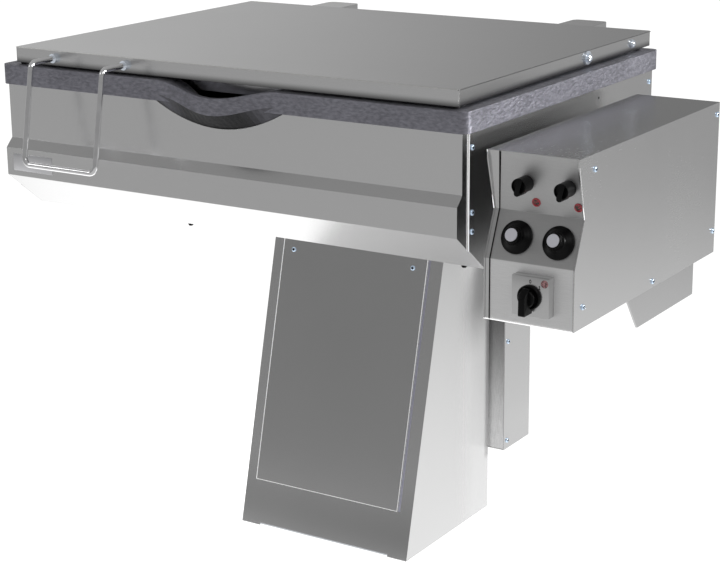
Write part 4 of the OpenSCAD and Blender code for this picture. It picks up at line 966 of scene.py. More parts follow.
@dataclass(frozen=True)
class Flutes:
    """Grip ribs round a turned part, between two heights in the part's own unit."""

    count: int
    depth: float
    low: float
    high: float

    def radius(self, radius: float, height: float, turn: float) -> float:
        """The radius at a place on the turned part.

        Args:
            radius: The plain radius.
            height: The height along the axis.
            turn: The angle round it.

        Returns:
            The radius with the ribs.
        """
        if not self.low <= height <= self.high:
            return radius
        return radius - self.depth * (0.5 - 0.5 * math.cos(turn * self.count))


def lathe(
    bm: bmesh.types.BMesh,
    profile: Sequence[tuple[float, float]],
    place: Matrix,
    sides: int = 32,
    loop: bool = False,
    flutes: Flutes | None = None,
) -> None:
    """Turns a profile round local Z and adds it to a mesh as a closed skin.

    Args:
        bm: The mesh to add to.
        profile: Radius and height pairs in the local unit, from the lower pole to the upper.
        place: From the local frame to the shared frame.
        sides: Steps round the turn.
        loop: True where the profile is a closed loop away from the axis.
        flutes: Grip ribs, or None.
    """
    rings: list[list[bmesh.types.BMVert]] = []
    for radius, height in profile:
        if radius < ON_AXIS:
            rings.append([bm.verts.new(place @ Vector((0, 0, height)))])
            continue
        ring = []
        for i in range(sides):
            turn = math.tau * i / sides
            r = flutes.radius(radius, height, turn) if flutes else radius
            point = Vector((r * math.cos(turn), r * math.sin(turn), height))
            ring.append(bm.verts.new(place @ point))
        rings.append(ring)
    pairs = list(zip(rings, rings[1:], strict=False))
    if loop:
        pairs.append((rings[-1], rings[0]))
    for low, high in pairs:
        for i in range(sides):
            j = (i + 1) % sides
            if len(low) == 1 and len(high) == 1:
                continue
            if len(low) == 1:
                bm.faces.new((low[0], high[j], high[i]))
            elif len(high) == 1:
                bm.faces.new((low[i], low[j], high[0]))
            else:
                bm.faces.new((low[i], low[j], high[j], high[i]))


def prism(
    bm: bmesh.types.BMesh,
    outline: Sequence[tuple[float, float]],
    low: float,
    high: float,
    place: Matrix,
    top_scale: float = 1.0,
) -> None:
    """Adds a closed prism over an outline drawn counter-clockwise.

    Args:
        bm: The mesh to add to.
        outline: Points in local X and Y.
        low: Local Z of the lower face.
        high: Local Z of the upper face.
        place: From the local frame to the shared frame.
        top_scale: The size of the upper face against the lower.
    """
    base = [bm.verts.new(place @ Vector((x, y, low))) for x, y in outline]
    top = [
        bm.verts.new(place @ Vector((x * top_scale, y * top_scale, high))) for x, y in outline
    ]
    bm.faces.new(list(reversed(base)))
    bm.faces.new(top)
    for i in range(len(outline)):
        j = (i + 1) % len(outline)
        bm.faces.new((base[i], base[j], top[j], top[i]))


def close_mesh(bm: bmesh.types.BMesh, bevel: float = 0.0, angle: float = 40.0) -> bpy.types.Mesh:
    """Rounds the corners of a working mesh, turns its faces outwards and keeps it.

    Args:
        bm: The working mesh, freed here.
        bevel: The width of the rounding in metres, or 0.
        angle: The angle in degrees past which an edge is rounded.

    Returns:
        The mesh.
    """
    bmesh.ops.remove_doubles(bm, verts=bm.verts, dist=WELD)
    bmesh.ops.recalc_face_normals(bm, faces=bm.faces)
    if bevel:
        sharp = [
            e
            for e in bm.edges
            if len(e.link_faces) == 2 and e.calc_face_angle(0.0) > math.radians(angle)
        ]
        bmesh.ops.bevel(
            bm,
            geom=sharp,
            offset=bevel,
            segments=2,
            profile=0.5,
            affect="EDGES",
            clamp_overlap=True,
        )
    mesh = bpy.data.meshes.new("kept")
    bm.to_mesh(mesh)
    bm.free()
    smooth(mesh)
    return mesh


def stand(at: Sequence[float], facing: Sequence[float]) -> Matrix:
    """A local frame with Z along a direction and Y as upright as can be.

    Args:
        at: The frame's origin in metres.
        facing: The direction of Z.

    Returns:
        From the local frame to the shared frame.
    """
    out = Vector(facing).normalized()
    hint = Vector((0, 0, 1)) if abs(out.z) < 0.9 else Vector((0, 1, 0))
    side = hint.cross(out).normalized()
    turn = Matrix((side, out.cross(side), out)).transposed()
    return Matrix.Translation(Vector(at)) @ turn.to_4x4()


def joint_frame(name: str) -> Matrix:
    """The local frame of a joint, with Z along its axis.

    Args:
        name: The joint's name.

    Returns:
        From the local frame to the shared frame.
    """
    joint = next(j for j in frame["joints"] if j["name"] == name)
    return stand(joint["pos_m"], joint["axis"])


def knob_frame(name: str) -> Matrix:
    """The local frame of a knob's joint, in millimetres.

    Args:
        name: The joint's name.

    Returns:
        From the local frame to the shared frame.
    """
    return joint_frame(name) @ Matrix.Scale(MM, 4)


def rod(bm: bmesh.types.BMesh, radius: float, low: float, high: float, place: Matrix) -> None:
    """Adds a closed round rod.

    Args:
        bm: The mesh to add to.
        radius: Its radius in the local unit.
        low: Its lower end along local Z.
        high: Its upper end.
        place: From the local frame to the shared frame.
    """
    lathe(bm, [(0, low), (radius, low), (radius, high), (0, high)], place, ROD_SIDES)


def spindle(bm: bmesh.types.BMesh, seat: float, place: Matrix) -> None:
    """Adds the spindle that a knob sits on, from inside the switch into the knob.

    Args:
        bm: The mesh to add to.
        seat: Where the knob begins, in millimetres along the joint's axis.
        place: The joint's frame in millimetres.
    """
    rod(bm, SPINDLE_R, -SPINDLE_DEPTH, seat + SPINDLE_GRIP, place)


def corner(node: str, pull: Sequence[float]) -> Vector:
    """The point of a node that lies furthest along a direction.

    Args:
        node: The node's name.
        pull: The direction.

    Returns:
        The point in millimetres.
    """
    way = Vector(pull)
    mesh = frame["nodes"][node].data
    return max((v.co for v in mesh.vertices), key=lambda co: co.dot(way)) / MM


def corner_path(node: str) -> list[Point]:
    """The left, lower and right edges of a raked sheet, seen from the front.

    Args:
        node: The node's name.

    Returns:
        The path in millimetres, a little in front of the sheet.
    """
    pulls = ((-1, -0.2, 0.9), (-1, -0.2, -0.9), (1, -0.2, -0.9), (1, -0.2, 0.9))
    return [tuple(corner(node, pull) + Vector((0, -0.1, 0))) for pull in pulls]


def front_line(node: str) -> list[Point]:
    """The upright front edge of a side sheet.

    Args:
        node: The node's name.

    Returns:
        The path in millimetres.
    """
    points = [v.co / MM for v in frame["nodes"][node].data.vertices]
    fore = min(p.y for p in points)
    depth = 0.01
    edge = [p for p in points if p.y < fore + depth]
    x = sum(p.x for p in edge) / len(edge)
    return [(x, fore, max(p.z for p in edge)), (x, fore, min(p.z for p in edge))]


def merge(name: str, pieces: Sequence[bpy.types.Object]) -> bpy.types.Object:
    """Joins plain pieces into one.

    Args:
        name: The joined piece's name.
        pieces: The pieces, which are removed.

    Returns:
        The joined piece.
    """
    finishes: list[bpy.types.Material] = []
    bm = bmesh.new()
    for piece in pieces:
        finish = piece.data.materials[0]
        if finish not in finishes:
            finishes.append(finish)
        known = len(bm.faces)
        bm.from_mesh(piece.data)
        bm.faces.ensure_lookup_table()
        for face in bm.faces[known:]:
            face.material_index = finishes.index(finish)
        bpy.data.objects.remove(piece)
    mesh = bpy.data.meshes.new(name)
    bm.to_mesh(mesh)
    bm.free()
    for finish in finishes:
        mesh.materials.append(finish)
    smooth(mesh)
    return show(name, mesh)


def solids_of(node: str) -> list[np.ndarray]:
    """The corner points of each separate solid in a node.

    Args:
        node: The node's name.

    Returns:
        One array of points for each solid.
    """
    bm = bmesh.new()
    bm.from_mesh(frame["nodes"][node].data)
    bmesh.ops.remove_doubles(bm, verts=bm.verts, dist=SAME_POINT)
    bm.verts.ensure_lookup_table()
    seen: set[int] = set()
    found: list[np.ndarray] = []
    for start in bm.verts:
        if start.index in seen:
            continue
        seen.add(start.index)
        queue, members = [start], []
        while queue:
            vert = queue.pop()
            members.append(vert.co[:])
            for edge in vert.link_edges:
                other = edge.other_vert(vert)
                if other.index not in seen:
                    seen.add(other.index)
                    queue.append(other)
        found.append(np.array(members))
    bm.free()
    return found


@dataclass(frozen=True)
class Fastener:
    """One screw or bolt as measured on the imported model, in metres."""

    RECESS_R = 0.535
    RECESS_FLOOR = 0.22
    RIM_SHARE = 0.97
    END_DEPTH = 1e-5

    seat: Vector
    facing: Vector
    head_r: float
    head_h: float
    shank_r: float
    shank_l: float

    @classmethod
    def measured(cls, points: np.ndarray) -> Fastener:
        """Reads a fastener's axis and sizes off its corner points.

        Args:
            points: The corner points of one solid.

        Returns:
            The fastener.
        """
        middle = (points.min(0) + points.max(0)) / 2
        spread, axes = np.linalg.eigh(np.cov((points - middle).T))
        lone = 2 if spread[1] - spread[0] < spread[2] - spread[1] else 0
        axis = axes[:, lone]
        centre = points.mean(0)
        along = (points - centre) @ axis
        out = np.linalg.norm((points - centre) - np.outer(along, axis), axis=1)
        wide = along[out > out.max() * cls.RIM_SHARE]
        if wide.mean() < (along.min() + along.max()) / 2:
            axis, along, wide = -axis, -along, -wide
        seat = wide.min()
        shank = out[along < along.min() + cls.END_DEPTH]
        return cls(
            Vector(centre + axis * seat),
            Vector(axis),
            float(out.max()),
            float(along.max() - seat),
            float(shank.max()),
            float(seat - along.min()),
        )

    @property
    def hangs(self) -> bool:
        """True where the head looks down."""
        return self.facing.z < -0.5

    def drives(self, point: Vector) -> bool:
        """Tells whether a point lies in the head's drive recess.

        Args:
            point: A point in the shared frame.

        Returns:
            True inside the recess.
        """
        away = point - self.seat
        along = away.dot(self.facing)
        aside = (away - self.facing * along).length
        deep = along > self.RECESS_FLOOR * self.head_h
        return deep and aside < self.RECESS_R * self.head_r


# Geometry Nodes


class GeoDesk:
    """A Geometry Nodes tree with named inputs, built and baked in this script."""

    def __init__(self, title: str) -> None:
        """Starts a tree that takes and gives geometry.

        Args:
            title: The tree's name.
        """
        self.tree = bpy.data.node_groups.new(title, "GeometryNodeTree")
        face = self.tree.interface
        face.new_socket(name="Geometry", in_out="INPUT", socket_type="NodeSocketGeometry")
        face.new_socket(name="Geometry", in_out="OUTPUT", socket_type="NodeSocketGeometry")
        self.entry: bpy.types.Node | None = None
        self.ids: dict[str, str] = {}

    def takes(self, name: str, kind: str) -> None:
        """Adds a named input.

        Args:
            name: The input's name.
            kind: Its socket type.
        """
        socket = self.tree.interface.new_socket(name=name, in_out="INPUT", socket_type=kind)
        self.ids[name] = socket.identifier

    def input(self, name: str) -> bpy.types.NodeSocket:
        """The socket of a named input."""
        if self.entry is None:
            self.entry = self.tree.nodes.new("NodeGroupInput")
        return self.entry.outputs[name]

    def add(
        self,
        kind: str,
        settings: Mapping[str, Any] | None = None,
        sockets: Mapping[str | int, Any] | None = None,
    ) -> bpy.types.Node:
        """Adds a node of any type.

        Args:
            kind: The node's type name.
            settings: Its settings, set first.
            sockets: The values or links of its inputs.

        Returns:
            The node.
        """
        node = self.tree.nodes.new(kind)
        for key, value in (settings or {}).items():
            setattr(node, key, value)
        for key, value in (sockets or {}).items():
            if isinstance(value, bpy.types.NodeSocket):
                self.tree.links.new(value, node.inputs[key])
            else:
                node.inputs[key].default_value = value
        return node

    def ends(self, geometry: bpy.types.NodeSocket) -> None:
        """Ends the tree in Realize Instances and Set Material.

        Args:
            geometry: The finished geometry.
        """
        real = self.add("GeometryNodeRealizeInstances", None, {"Geometry": geometry})
        coated = self.add(
            "GeometryNodeSetMaterial",
            None,
            {"Geometry": real.outputs[0], "Material": self.input("Finish")},
        )
        exit_node = self.tree.nodes.new("NodeGroupOutput")
        self.tree.links.new(coated.outputs[0], exit_node.inputs[0])

    def bake(
        self, name: str, carrier: bpy.types.Mesh, values: Mapping[str, Any]
    ) -> bpy.types.Object:
        """Runs the tree on a carrier mesh and keeps the result as a plain piece.

        Args:
            name: The piece's name.
            carrier: The mesh that the tree starts from, removed here.
            values: The inputs' values by name.

        Returns:
            The plain piece.
        """
        holder = bpy.data.objects.new(name + "_carrier", carrier)
        bpy.context.scene.collection.objects.link(holder)
        modifier = holder.modifiers.new("layout", "NODES")
        modifier.node_group = self.tree
        for key, value in values.items():
            modifier[self.ids[key]] = value
        depsgraph = bpy.context.evaluated_depsgraph_get()
        mesh = bpy.data.meshes.new_from_object(holder.evaluated_get(depsgraph))
        holder.modifiers.remove(modifier)
        bpy.data.objects.remove(holder)
        bpy.data.meshes.remove(carrier)
        mesh.materials.clear()
        mesh.materials.append(values["Finish"])
        return show(name, mesh)


class FastenerLayout:
    """Lays screw heads and shanks on measured points with Geometry Nodes."""

    HEX_FROM = 6 * MM
    UNDER_STRETCH = 1.9
    HEAD_SHARE = 0.999
    HEAD_SIDES = 18

    def __init__(self) -> None:
        """Builds the tree, and the unit heads and shank that it repeats."""
        self.desk = GeoDesk("fastener_layout")
        self._draw_tree()
        self.shank = self._unit_shank()
        self.hexagon = self._unit_hexagon()
        self.domed = self._unit_dome()

    def _draw_tree(self) -> None:
        """Draws the tree: each head is turned by chance about its own axis."""
        for name, kind in (
            ("Head", "NodeSocketObject"),
            ("Shank", "NodeSocketObject"),
            ("Turn Seed", "NodeSocketInt"),
            ("Finish", "NodeSocketMaterial"),
        ):
            self.desk.takes(name, kind)
        facing = self._named("facing")
        aligned = self.desk.add(
            "FunctionNodeAlignRotationToVector", {"axis": "Z"}, {"Vector": facing}
        )
        chance = self.desk.add(
            "FunctionNodeRandomValue",
            {"data_type": "FLOAT"},
            {2: 0.0, 3: math.tau, "Seed": self.desk.input("Turn Seed")},
        )
        spin = self.desk.add(
            "FunctionNodeAxisAngleToRotation",
            None,
            {"Axis": (0.0, 0.0, 1.0), "Angle": chance.outputs[1]},
        )
        turned = self.desk.add(
            "FunctionNodeRotateRotation",
            {"rotation_space": "LOCAL"},
            {"Rotation": aligned.outputs[0], "Rotate By": spin.outputs[0]},
        )
        join = self.desk.add("GeometryNodeJoinGeometry")
        for part, size in (("Head", "head_size"), ("Shank", "shank_size")):
            shape = self.desk.add(
                "GeometryNodeObjectInfo", None, {"Object": self.desk.input(part)}
            )
            laid = self.desk.add(
                "GeometryNodeInstanceOnPoints",
                None,
                {
                    "Points": self.desk.input("Geometry"),
                    "Instance": shape.outputs["Geometry"],
                    "Rotation": turned.outputs[0],
                    "Scale": self._named(size),
                },
            )
            self.desk.tree.links.new(laid.outputs[0], join.inputs[0])
        self.desk.ends(join.outputs[0])

    def _named(self, name: str) -> bpy.types.NodeSocket:
        """The socket of a named vector attribute.

        Args:
            name: The attribute's name.

        Returns:
            The socket.
        """
        node = self.desk.add(
            "GeometryNodeInputNamedAttribute", {"data_type": "FLOAT_VECTOR"}, {"Name": name}
        )
        return node.outputs[0]

    @staticmethod
    def _unit_shank() -> bpy.types.Object:
        """A unit shank that runs down from its seat, with a chamfered end."""
        bm = bmesh.new()
        lathe(bm, [(0, -1), (0.8, -1), (1, -0.93), (1, 0), (0, 0)], Matrix.Identity(4), 12)
        return show("unit_shank", close_mesh(bm))

    @classmethod
    def _unit_hexagon(cls) -> bpy.types.Object:
        """A hexagon head with a turned top, one wide in radius and one high."""
        bm = bmesh.new()
        outline = [(math.cos(math.tau * i / 6), math.sin(math.tau * i / 6)) for i in range(6)]
        prism(bm, outline, 0.0, 0.86, Matrix.Identity(4))
        top = [(0, 0.8), (0.84, 0.86), (0.78, 1.0), (0, 1.0)]
        lathe(bm, top, Matrix.Identity(4), cls.HEAD_SIDES)
        return show("unit_head_hex", close_mesh(bm))

    @classmethod
    def _unit_dome(cls) -> bpy.types.Object:
        """A domed head with a drive recess, one wide in radius and one high."""
        bm = bmesh.new()
        profile = [
            (0, 0), (0.94, 0), (1, 0.08), (1, 0.3), (0.94, 0.6), (0.80, 0.86),
            (0.66, 0.98), (0.58, 1.0), (0.54, 0.96), (0.50, 0.35), (0, 0.25),
        ]
        lathe(bm, profile, Matrix.Identity(4), cls.HEAD_SIDES)
        return show("unit_head_domed", close_mesh(bm))

    def _laid(
        self,
        name: str,
        fasteners: Sequence[Fastener],
        head: bpy.types.Object,
        seed: int,
        finish: Finish,
    ) -> bpy.types.Object:
        """Lays one group of fasteners.

        Args:
            name: The piece's name.
            fasteners: The measured fasteners.
            head: The unit head to repeat.
            seed: The seed of the heads' turn.
            finish: Their finish.

        Returns:
            The piece.
        """
        carrier = bpy.data.meshes.new(name)
        carrier.from_pydata([f.seat for f in fasteners], [], [])
        for title, values in (
            ("facing", [f.facing for f in fasteners]),
            ("head_size", [(f.head_r, f.head_r, f.head_h * self.HEAD_SHARE) for f in fasteners]),
            ("shank_size", [(f.shank_r, f.shank_r, f.shank_l) for f in fasteners]),
        ):
            attribute = carrier.attributes.new(title, "FLOAT_VECTOR", "POINT")
            for item, value in zip(attribute.data, values, strict=True):
                item.vector = value
        return self.desk.bake(
            name,
            carrier,
            {
                "Head": head,
                "Shank": self.shank,
                "Turn Seed": seed,
                "Finish": finish.material(),
            },
        )

    def renew(self, node: str, body: str, seed: int) -> None:
        """Lays the fasteners of a node anew, hexagon heads where its heads are wide.

        Heads that look down are black and stand out further, as under the pan.

        Args:
            node: The node that the piece stands for.
            body: The body that it rides.
            seed: The seed of the heads' turn.
        """
        found = [Fastener.measured(points) for points in solids_of(node)]
        hexagons = [f for f in found if f.head_r > self.HEX_FROM]
        domed = [f for f in found if f.head_r <= self.HEX_FROM]
        under = [replace(f, head_h=f.head_h * self.UNDER_STRETCH) for f in domed if f.hangs]
        bright = [f for f in domed if not f.hangs]
        laid = [
            self._laid(f"{node}_{kind}", group, head, seed, finish)
            for kind, group, head, finish in (
                ("hex", hexagons, self.hexagon, BOLT_STEEL),
                ("under", under, self.domed, BLACK_SCREW),
                ("domed", bright, self.domed, SCREW_STEEL),
            )
            if group
        ]
        piece = merge(node + "_laid", laid)
        # Painted shade: faces inside each drive recess get the black recess finish.
        piece.data.materials.append(RECESS.material())
        dark = len(piece.data.materials) - 1
        for face in piece.data.polygons:
            middle = face.center
            nearest = min(domed, key=lambda f: (f.seat - middle).length_squared, default=None)
            if nearest is not None and nearest.drives(middle):
                face.material_index = dark
        settle(piece, body, (node,))

    def clear(self) -> None:
        """Takes the unit shapes away."""
        for unit in (self.shank, self.hexagon, self.domed):
            bpy.data.objects.remove(unit)


class PathSweep:
    """Runs a thin section along paths with Geometry Nodes."""

    def __init__(self) -> None:
        """Builds the tree."""
        self.desk = GeoDesk("path_sweep")
        for name, kind in (
            ("Radius", "NodeSocketFloat"),
            ("Sides", "NodeSocketInt"),
            ("Finish", "NodeSocketMaterial"),
        ):
            self.desk.takes(name, kind)
        curve = self.desk.add(
            "GeometryNodeMeshToCurve", None, {"Mesh": self.desk.input("Geometry")}
        )
        section = self.desk.add(
            "GeometryNodeCurvePrimitiveCircle",
            {"mode": "RADIUS"},
            {"Resolution": self.desk.input("Sides"), "Radius": self.desk.input("Radius")},
        )
        swept = self.desk.add(
            "GeometryNodeCurveToMesh",
            None,
            {
                "Curve": curve.outputs[0],
                "Profile Curve": section.outputs[0],
                "Fill Caps": True,
            },
        )
        self.desk.ends(swept.outputs[0])

    def run(
        self,
        name: str,
        paths: Sequence[Sequence[Point]],
        radius: float,
        finish: Finish,
        sides: int = 6,
    ) -> bpy.types.Object:
        """Sweeps one piece along paths given in millimetres.

        Args:
            name: The piece's name.
            paths: The paths.
            radius: The section's radius in millimetres.
            finish: The piece's finish.
            sides: The section's corners.

        Returns:
            The piece.
        """
        points: list[Vector] = []
        edges: list[tuple[int, int]] = []
        for path in paths:
            start = len(points)
            points += [Vector(point) * MM for point in path]
            edges += [(i, i + 1) for i in range(start, len(points) - 1)]
        carrier = bpy.data.meshes.new(name)
        carrier.from_pydata(points, edges, [])
        piece = self.desk.bake(
            name,
            carrier,
            {"Radius": radius * MM, "Sides": sides, "Finish": finish.material()},
        )
        smooth(piece.data, 50.0)
        return piece


# Sub-assemblies


@dataclass
class Dressing:
    """What every sub-assembly does: it gives its nodes their finishes."""

    coats: dict[str, Finish] = field(default_factory=dict)

    def dress(self) -> None:
        """Gives each node of this sub-assembly its finish."""
        for node, finish in self.coats.items():
            mesh = frame["nodes"][node].data
            mesh.materials.clear()
            mesh.materials.append(finish.material())
            LOG.info("%s: %s", node, finish.title)

    def build(self) -> None:
        """Builds this sub-assembly's own pieces, where it has any."""


@dataclass
class Pedestal(Dressing):
    """The raked pedestal with its door and the tilt drive inside it."""

    coats: dict[str, Finish] = field(
        default_factory=lambda: {
            "base_plate": PLATE_ZINC,
            "pedestal_casing": CASING_SHEET,
            "pedestal_door": DOOR_SHEET,
            "bearing_cheeks": PLATE_ZINC,
            "cheek_tie_bars": SHAFT_STEEL,
            "bearing_bushes": BUSH_BRONZE,
            "gearbox": MACHINE_ENAMEL,
            "drive_motor": MOTOR_ENAMEL,
            "frame_bolts": SCREW_STEEL,
            "limit_switches": BLACK,
            "drive_pinion": GEAR_STEEL,
        }
    )


@dataclass
class RearHousing(Dressing):
    """The electrical housing behind the pedestal."""

    coats: dict[str, Finish] = field(
        default_factory=lambda: {
            "rear_housing": HOUSE_SHEET,
            "rear_housing_cover": SHEET_BACK,
            "din_rail": PLATE_ZINC,
            "contactors": GREY,
            "terminal_block": GREY,
            "cable_gland": BLACK,
            "cross_beam": SHEET_ACROSS,
        }
    )


@dataclass
class ZoneKnob:
    """A heating-zone knob: a shell with a grip bar across its open front. Millimetres."""

    side: str
    radius: float = 11.8
    length: float = 26.0
    lift: float = 3.9
    hollow: float = 4.5
    bar: float = 7.6
    nub: float = 3.8
    pointer: float = 255.0
    edge: float = 0.3

    def build(self) -> None:
        """Turns the shell, sets the bar and the pointer in it and settles the knob."""
        place = knob_frame(f"zone_switch_{self.side}")
        r, front = self.radius, self.lift + self.length
        bm = bmesh.new()
        spindle(bm, self.lift, place)
        floor = front - self.hollow
        shell = [
            (0, self.lift), (r - 0.4, self.lift), (r, self.lift + 0.5), (r - 0.3, front - 0.6),
            (r - 0.7, front), (r - 1.3, front), (r - 1.6, front - 0.5), (r - 1.8, floor), (0, floor),
        ]
        lathe(bm, shell, place, 48)
        turned = place @ Matrix.Rotation(math.radians(self.pointer), 4, "Z")
        half = self.bar / 2
        bar = [(1 - r, -half), (r, -half), (r, half), (1 - r, half)]
        prism(bm, bar, floor - 1, front + 0.2, turned)
        tip = r + self.nub
        pointer = [
            (r - 4, -half - 1.2), (r, -half - 0.6), (tip - 1.2, -half + 0.4), (tip, -1.4),
            (tip, 1.4), (tip - 1.2, half - 0.4), (r, half + 0.6), (r - 4, half + 1.2),
        ]
        prism(bm, pointer, self.lift + 0.4, front, turned)
        name = f"zone_knob_{self.side}"
        piece = show(f"{name}_shell", close_mesh(bm, self.edge * MM), KNOB_BLACK)
        settle(piece, name, (name,))


@dataclass
class ThermostatKnob:
    """A thermostat knob: a broad skirt and a ribbed grip that holds the cap. Millimetres."""

    side: str
    radius: float = 25.0
    height: float = 21.0
    lift: float = 0.4
    cap: float = 9.85
    ribs: int = 30
    rib: float = 0.7

    def build(self) -> None:
        """Turns the knob and settles it."""
        place = knob_frame(f"thermostat_{self.side}")
        r, h, c = self.radius, self.height, self.cap
        profile = [
            (0, 0), (r - 0.5, 0), (r, 0.5), (r, 2.4), (r - 0.5, 3.0), (r - 2.2, 3.7),
            (r - 5.5, 5.6), (r - 6.1, 6.4), (r - 8.6, 8.1), (r - 10.2, 9.8), (r - 10.9, 11.6),
            (r - 11.1, 12.6), (r - 11.9, 13.2), (r - 12.4, h - 1.6), (r - 13.0, h - 0.5),
            (r - 13.5, h), (c + 0.5, h), (c, h - 0.5), (c, h - 2), (0, h - 2),
        ]
        bm = bmesh.new()
        spindle(bm, self.lift, place)
        raised = place @ Matrix.Translation((0, 0, self.lift))
        flutes = Flutes(self.ribs, self.rib, 13.0, h - 1.2)
        lathe(bm, profile, raised, self.ribs * 4, flutes=flutes)
        name = f"thermostat_knob_{self.side}"
        piece = show(f"{name}_turned", close_mesh(bm), KNOB_BLACK)
        settle(piece, name, (name,))


@dataclass
class MainSwitch:
    """The main switch: plate with two numbers, and knob with a deep lever. Millimetres."""

    side: float = 60.0
    depth: float = 17.0
    lift: float = 0.4
    radius: float = 18.5
    lever_w: float = 10.2
    lever_l: float = 23.0
    plate_edge: float = 1.0
    knob_edge: float = 0.5
    nought_at: Point = (0.0, 23.0, 0.0)
    one_at: Point = (15.2, 15.6, 0.0)
    print_deep: float = 0.5
    print_proud: float = 0.06

    def build(self) -> None:
        """Builds the plate, the numbers and the knob."""
        place = knob_frame("main_switch")
        self._plate(place)
        self._numbers(place)
        self._knob(place)

    def _plate(self, place: Matrix) -> None:
        """Builds the plate with softly broken edges.

        Args:
            place: The switch's frame.
        """
        half = self.side / 2
        bm = bmesh.new()
        square = [(-half, -half), (half, -half), (half, half), (-half, half)]
        prism(bm, square, 0.0, self.depth, place)
        piece = show("switch_plate_moulding", close_mesh(bm, self.plate_edge * MM), SWITCH_GREY)
        settle(piece, "frame", ("switch_plate",))

    def _numbers(self, place: Matrix) -> None:
        """Prints a nought above the knob and a one at its upper right.

        Args:
            place: The switch's frame.
        """
        bm = bmesh.new()
        high = self.depth + self.print_proud
        low = high - self.print_deep
        nought = place @ Matrix.Translation(self.nought_at) @ Matrix.Diagonal((0.62, 1, 1, 1))
        lathe(bm, [(1.5, low), (2.9, low), (2.9, high), (1.5, high)], nought, 28, loop=True)
        one = place @ Matrix.Translation(self.one_at)
        stem = [(-0.6, -3), (0.6, -3), (0.6, 3), (-0.6, 3)]
        foot = [(-1.8, -3), (1.8, -3), (1.8, -2.2), (-1.8, -2.2)]
        flag = [(-1.9, 1.4), (-1.5, 1.0), (0.4, 2.9), (0.0, 3.0)]
        for stroke in (stem, foot, flag):
            prism(bm, stroke, low, high, one)
        piece = show("switch_numbers", close_mesh(bm), PRINT_BLACK)
        settle(piece, "frame")

    def _knob(self, place: Matrix) -> None:
        """Builds the disc, the hub and the wedge-shaped lever.

        Args:
            place: The switch's frame.
        """
        base = self.depth + self.lift
        r = self.radius
        bm = bmesh.new()
        spindle(bm, base, place)
        disc = [
            (0, base), (r - 0.4, base), (r, base + 0.4), (r, base + 4.6), (r - 1.2, base + 6.0),
            (r - 2.4, base + 6.2), (r - 3.2, base + 5.2), (0, base + 5.2),
        ]
        lathe(bm, disc, place, 64)
        hub = [
            (0, base + 5), (13.0, base + 5), (12.6, base + 12.4), (11.6, base + 13.6),
            (0, base + 14),
        ]
        lathe(bm, hub, place, 48)
        half = self.lever_w / 2
        wedge = [
            (-self.lever_l, base + 2.5), (15.0, base + 2.5), (15.0, base + 13.0),
            (9.0, base + 23.0), (3.0, base + 26.8), (-self.lever_l + 1.5, base + 27.2),
            (-self.lever_l, base + 26.2),
        ]
        upright = place @ Matrix(((0, 0, 1, 0), (1, 0, 0, 0), (0, 1, 0, 0), (0, 0, 0, 1)))
        prism(bm, wedge, -half, half, upright)
        mesh = close_mesh(bm, self.knob_edge * MM, 30.0)
        piece = show("main_switch_grip", mesh, KNOB_BLACK)
        settle(piece, "main_switch_knob", ("main_switch_knob",))


@dataclass(frozen=True)
class Lamp:
    """One pilot lamp's frame and sizes, in metres."""

    place: Matrix
    lens_r: float
    lens_h: float
    shank_r: float
    shank_l: float

    def profile(self) -> list[tuple[float, float]]:
        """The turned outline from the shank's end to the middle of the lens.

        Returns:
            Radius and height pairs.
        """
        r, h = self.lens_r, self.lens_h
        return [
            (0, -self.shank_l), (self.shank_r, -self.shank_l), (self.shank_r, 0), (r, 0),
            (r, h * 0.5), (r * 0.93, h * 0.9), (r * 0.84, h), (r * 0.78, h * 0.8),
            (r * 0.55, h * 0.95), (r * 0.28, h * 1.05), (0, h * 1.1),
        ]


@dataclass
class PilotLamps:
    """The pilot lamps: a rounded lens in a red ring, at the measured places. Metres."""

    sides: int = 48
    lens_r: float = 0.0068
    small_lens: float = 0.58
    small_shank: float = 0.8
    ring_from: float = 0.8
    finishes: tuple[Finish, ...] = (LENS, LENS_RING, PALE_LENS)

    def build(self) -> None:
        """Builds each lamp at its measured place. The lowest one is on the switch plate."""
        bm = bmesh.new()
        solids = solids_of("pilot_lights")
        lowest = min(solids, key=lambda points: points[:, 2].mean())
        for solid in solids:
            lamp = self._on_plate(solid) if solid is lowest else self._on_fascia(solid)
            known = len(bm.faces)
            lathe(bm, lamp.profile(), lamp.place, self.sides)
            bm.faces.ensure_lookup_table()
            away = lamp.place.inverted()
            for face in bm.faces[known:]:
                local = away @ face.calc_center_median()
                wide = math.hypot(local.x, local.y) >= self.ring_from * lamp.lens_r
                finish = LENS_RING if wide or local.z <= 0 else LENS
                face.material_index = self.finishes.index(PALE_LENS if solid is lowest else finish)
        piece = show("pilot_lamp_lenses", close_mesh(bm))
        for finish in self.finishes:
            piece.data.materials.append(finish.material())
        settle(piece, "frame", ("pilot_lights",))

    def _on_fascia(self, points: np.ndarray) -> Lamp:
        """Measures a lamp of the fascia.

        Args:
            points: Its corner points.

        Returns:
            The lamp.
        """
        found = Fastener.measured(points)
        place = stand(found.seat, found.facing)
        return Lamp(place, self.lens_r, found.head_h, found.shank_r, found.shank_l)

    def _on_plate(self, points: np.ndarray) -> Lamp:
        """Measures the small lamp on the front of the switch plate.

        Args:
            points: Its corner points.

        Returns:
            The lamp.
        """
        low, high = points.min(0), points.max(0)
        reach = (high[0] - low[0]) * self.small_lens
        front = (knob_frame("main_switch") @ Vector((0, 0, MainSwitch.depth))).y
        place = stand(((low[0] + high[0]) / 2, front, (low[2] + high[2]) / 2), FORWARD)
        return Lamp(place, reach, front - low[1], reach * self.small_shank, high[1] - front)


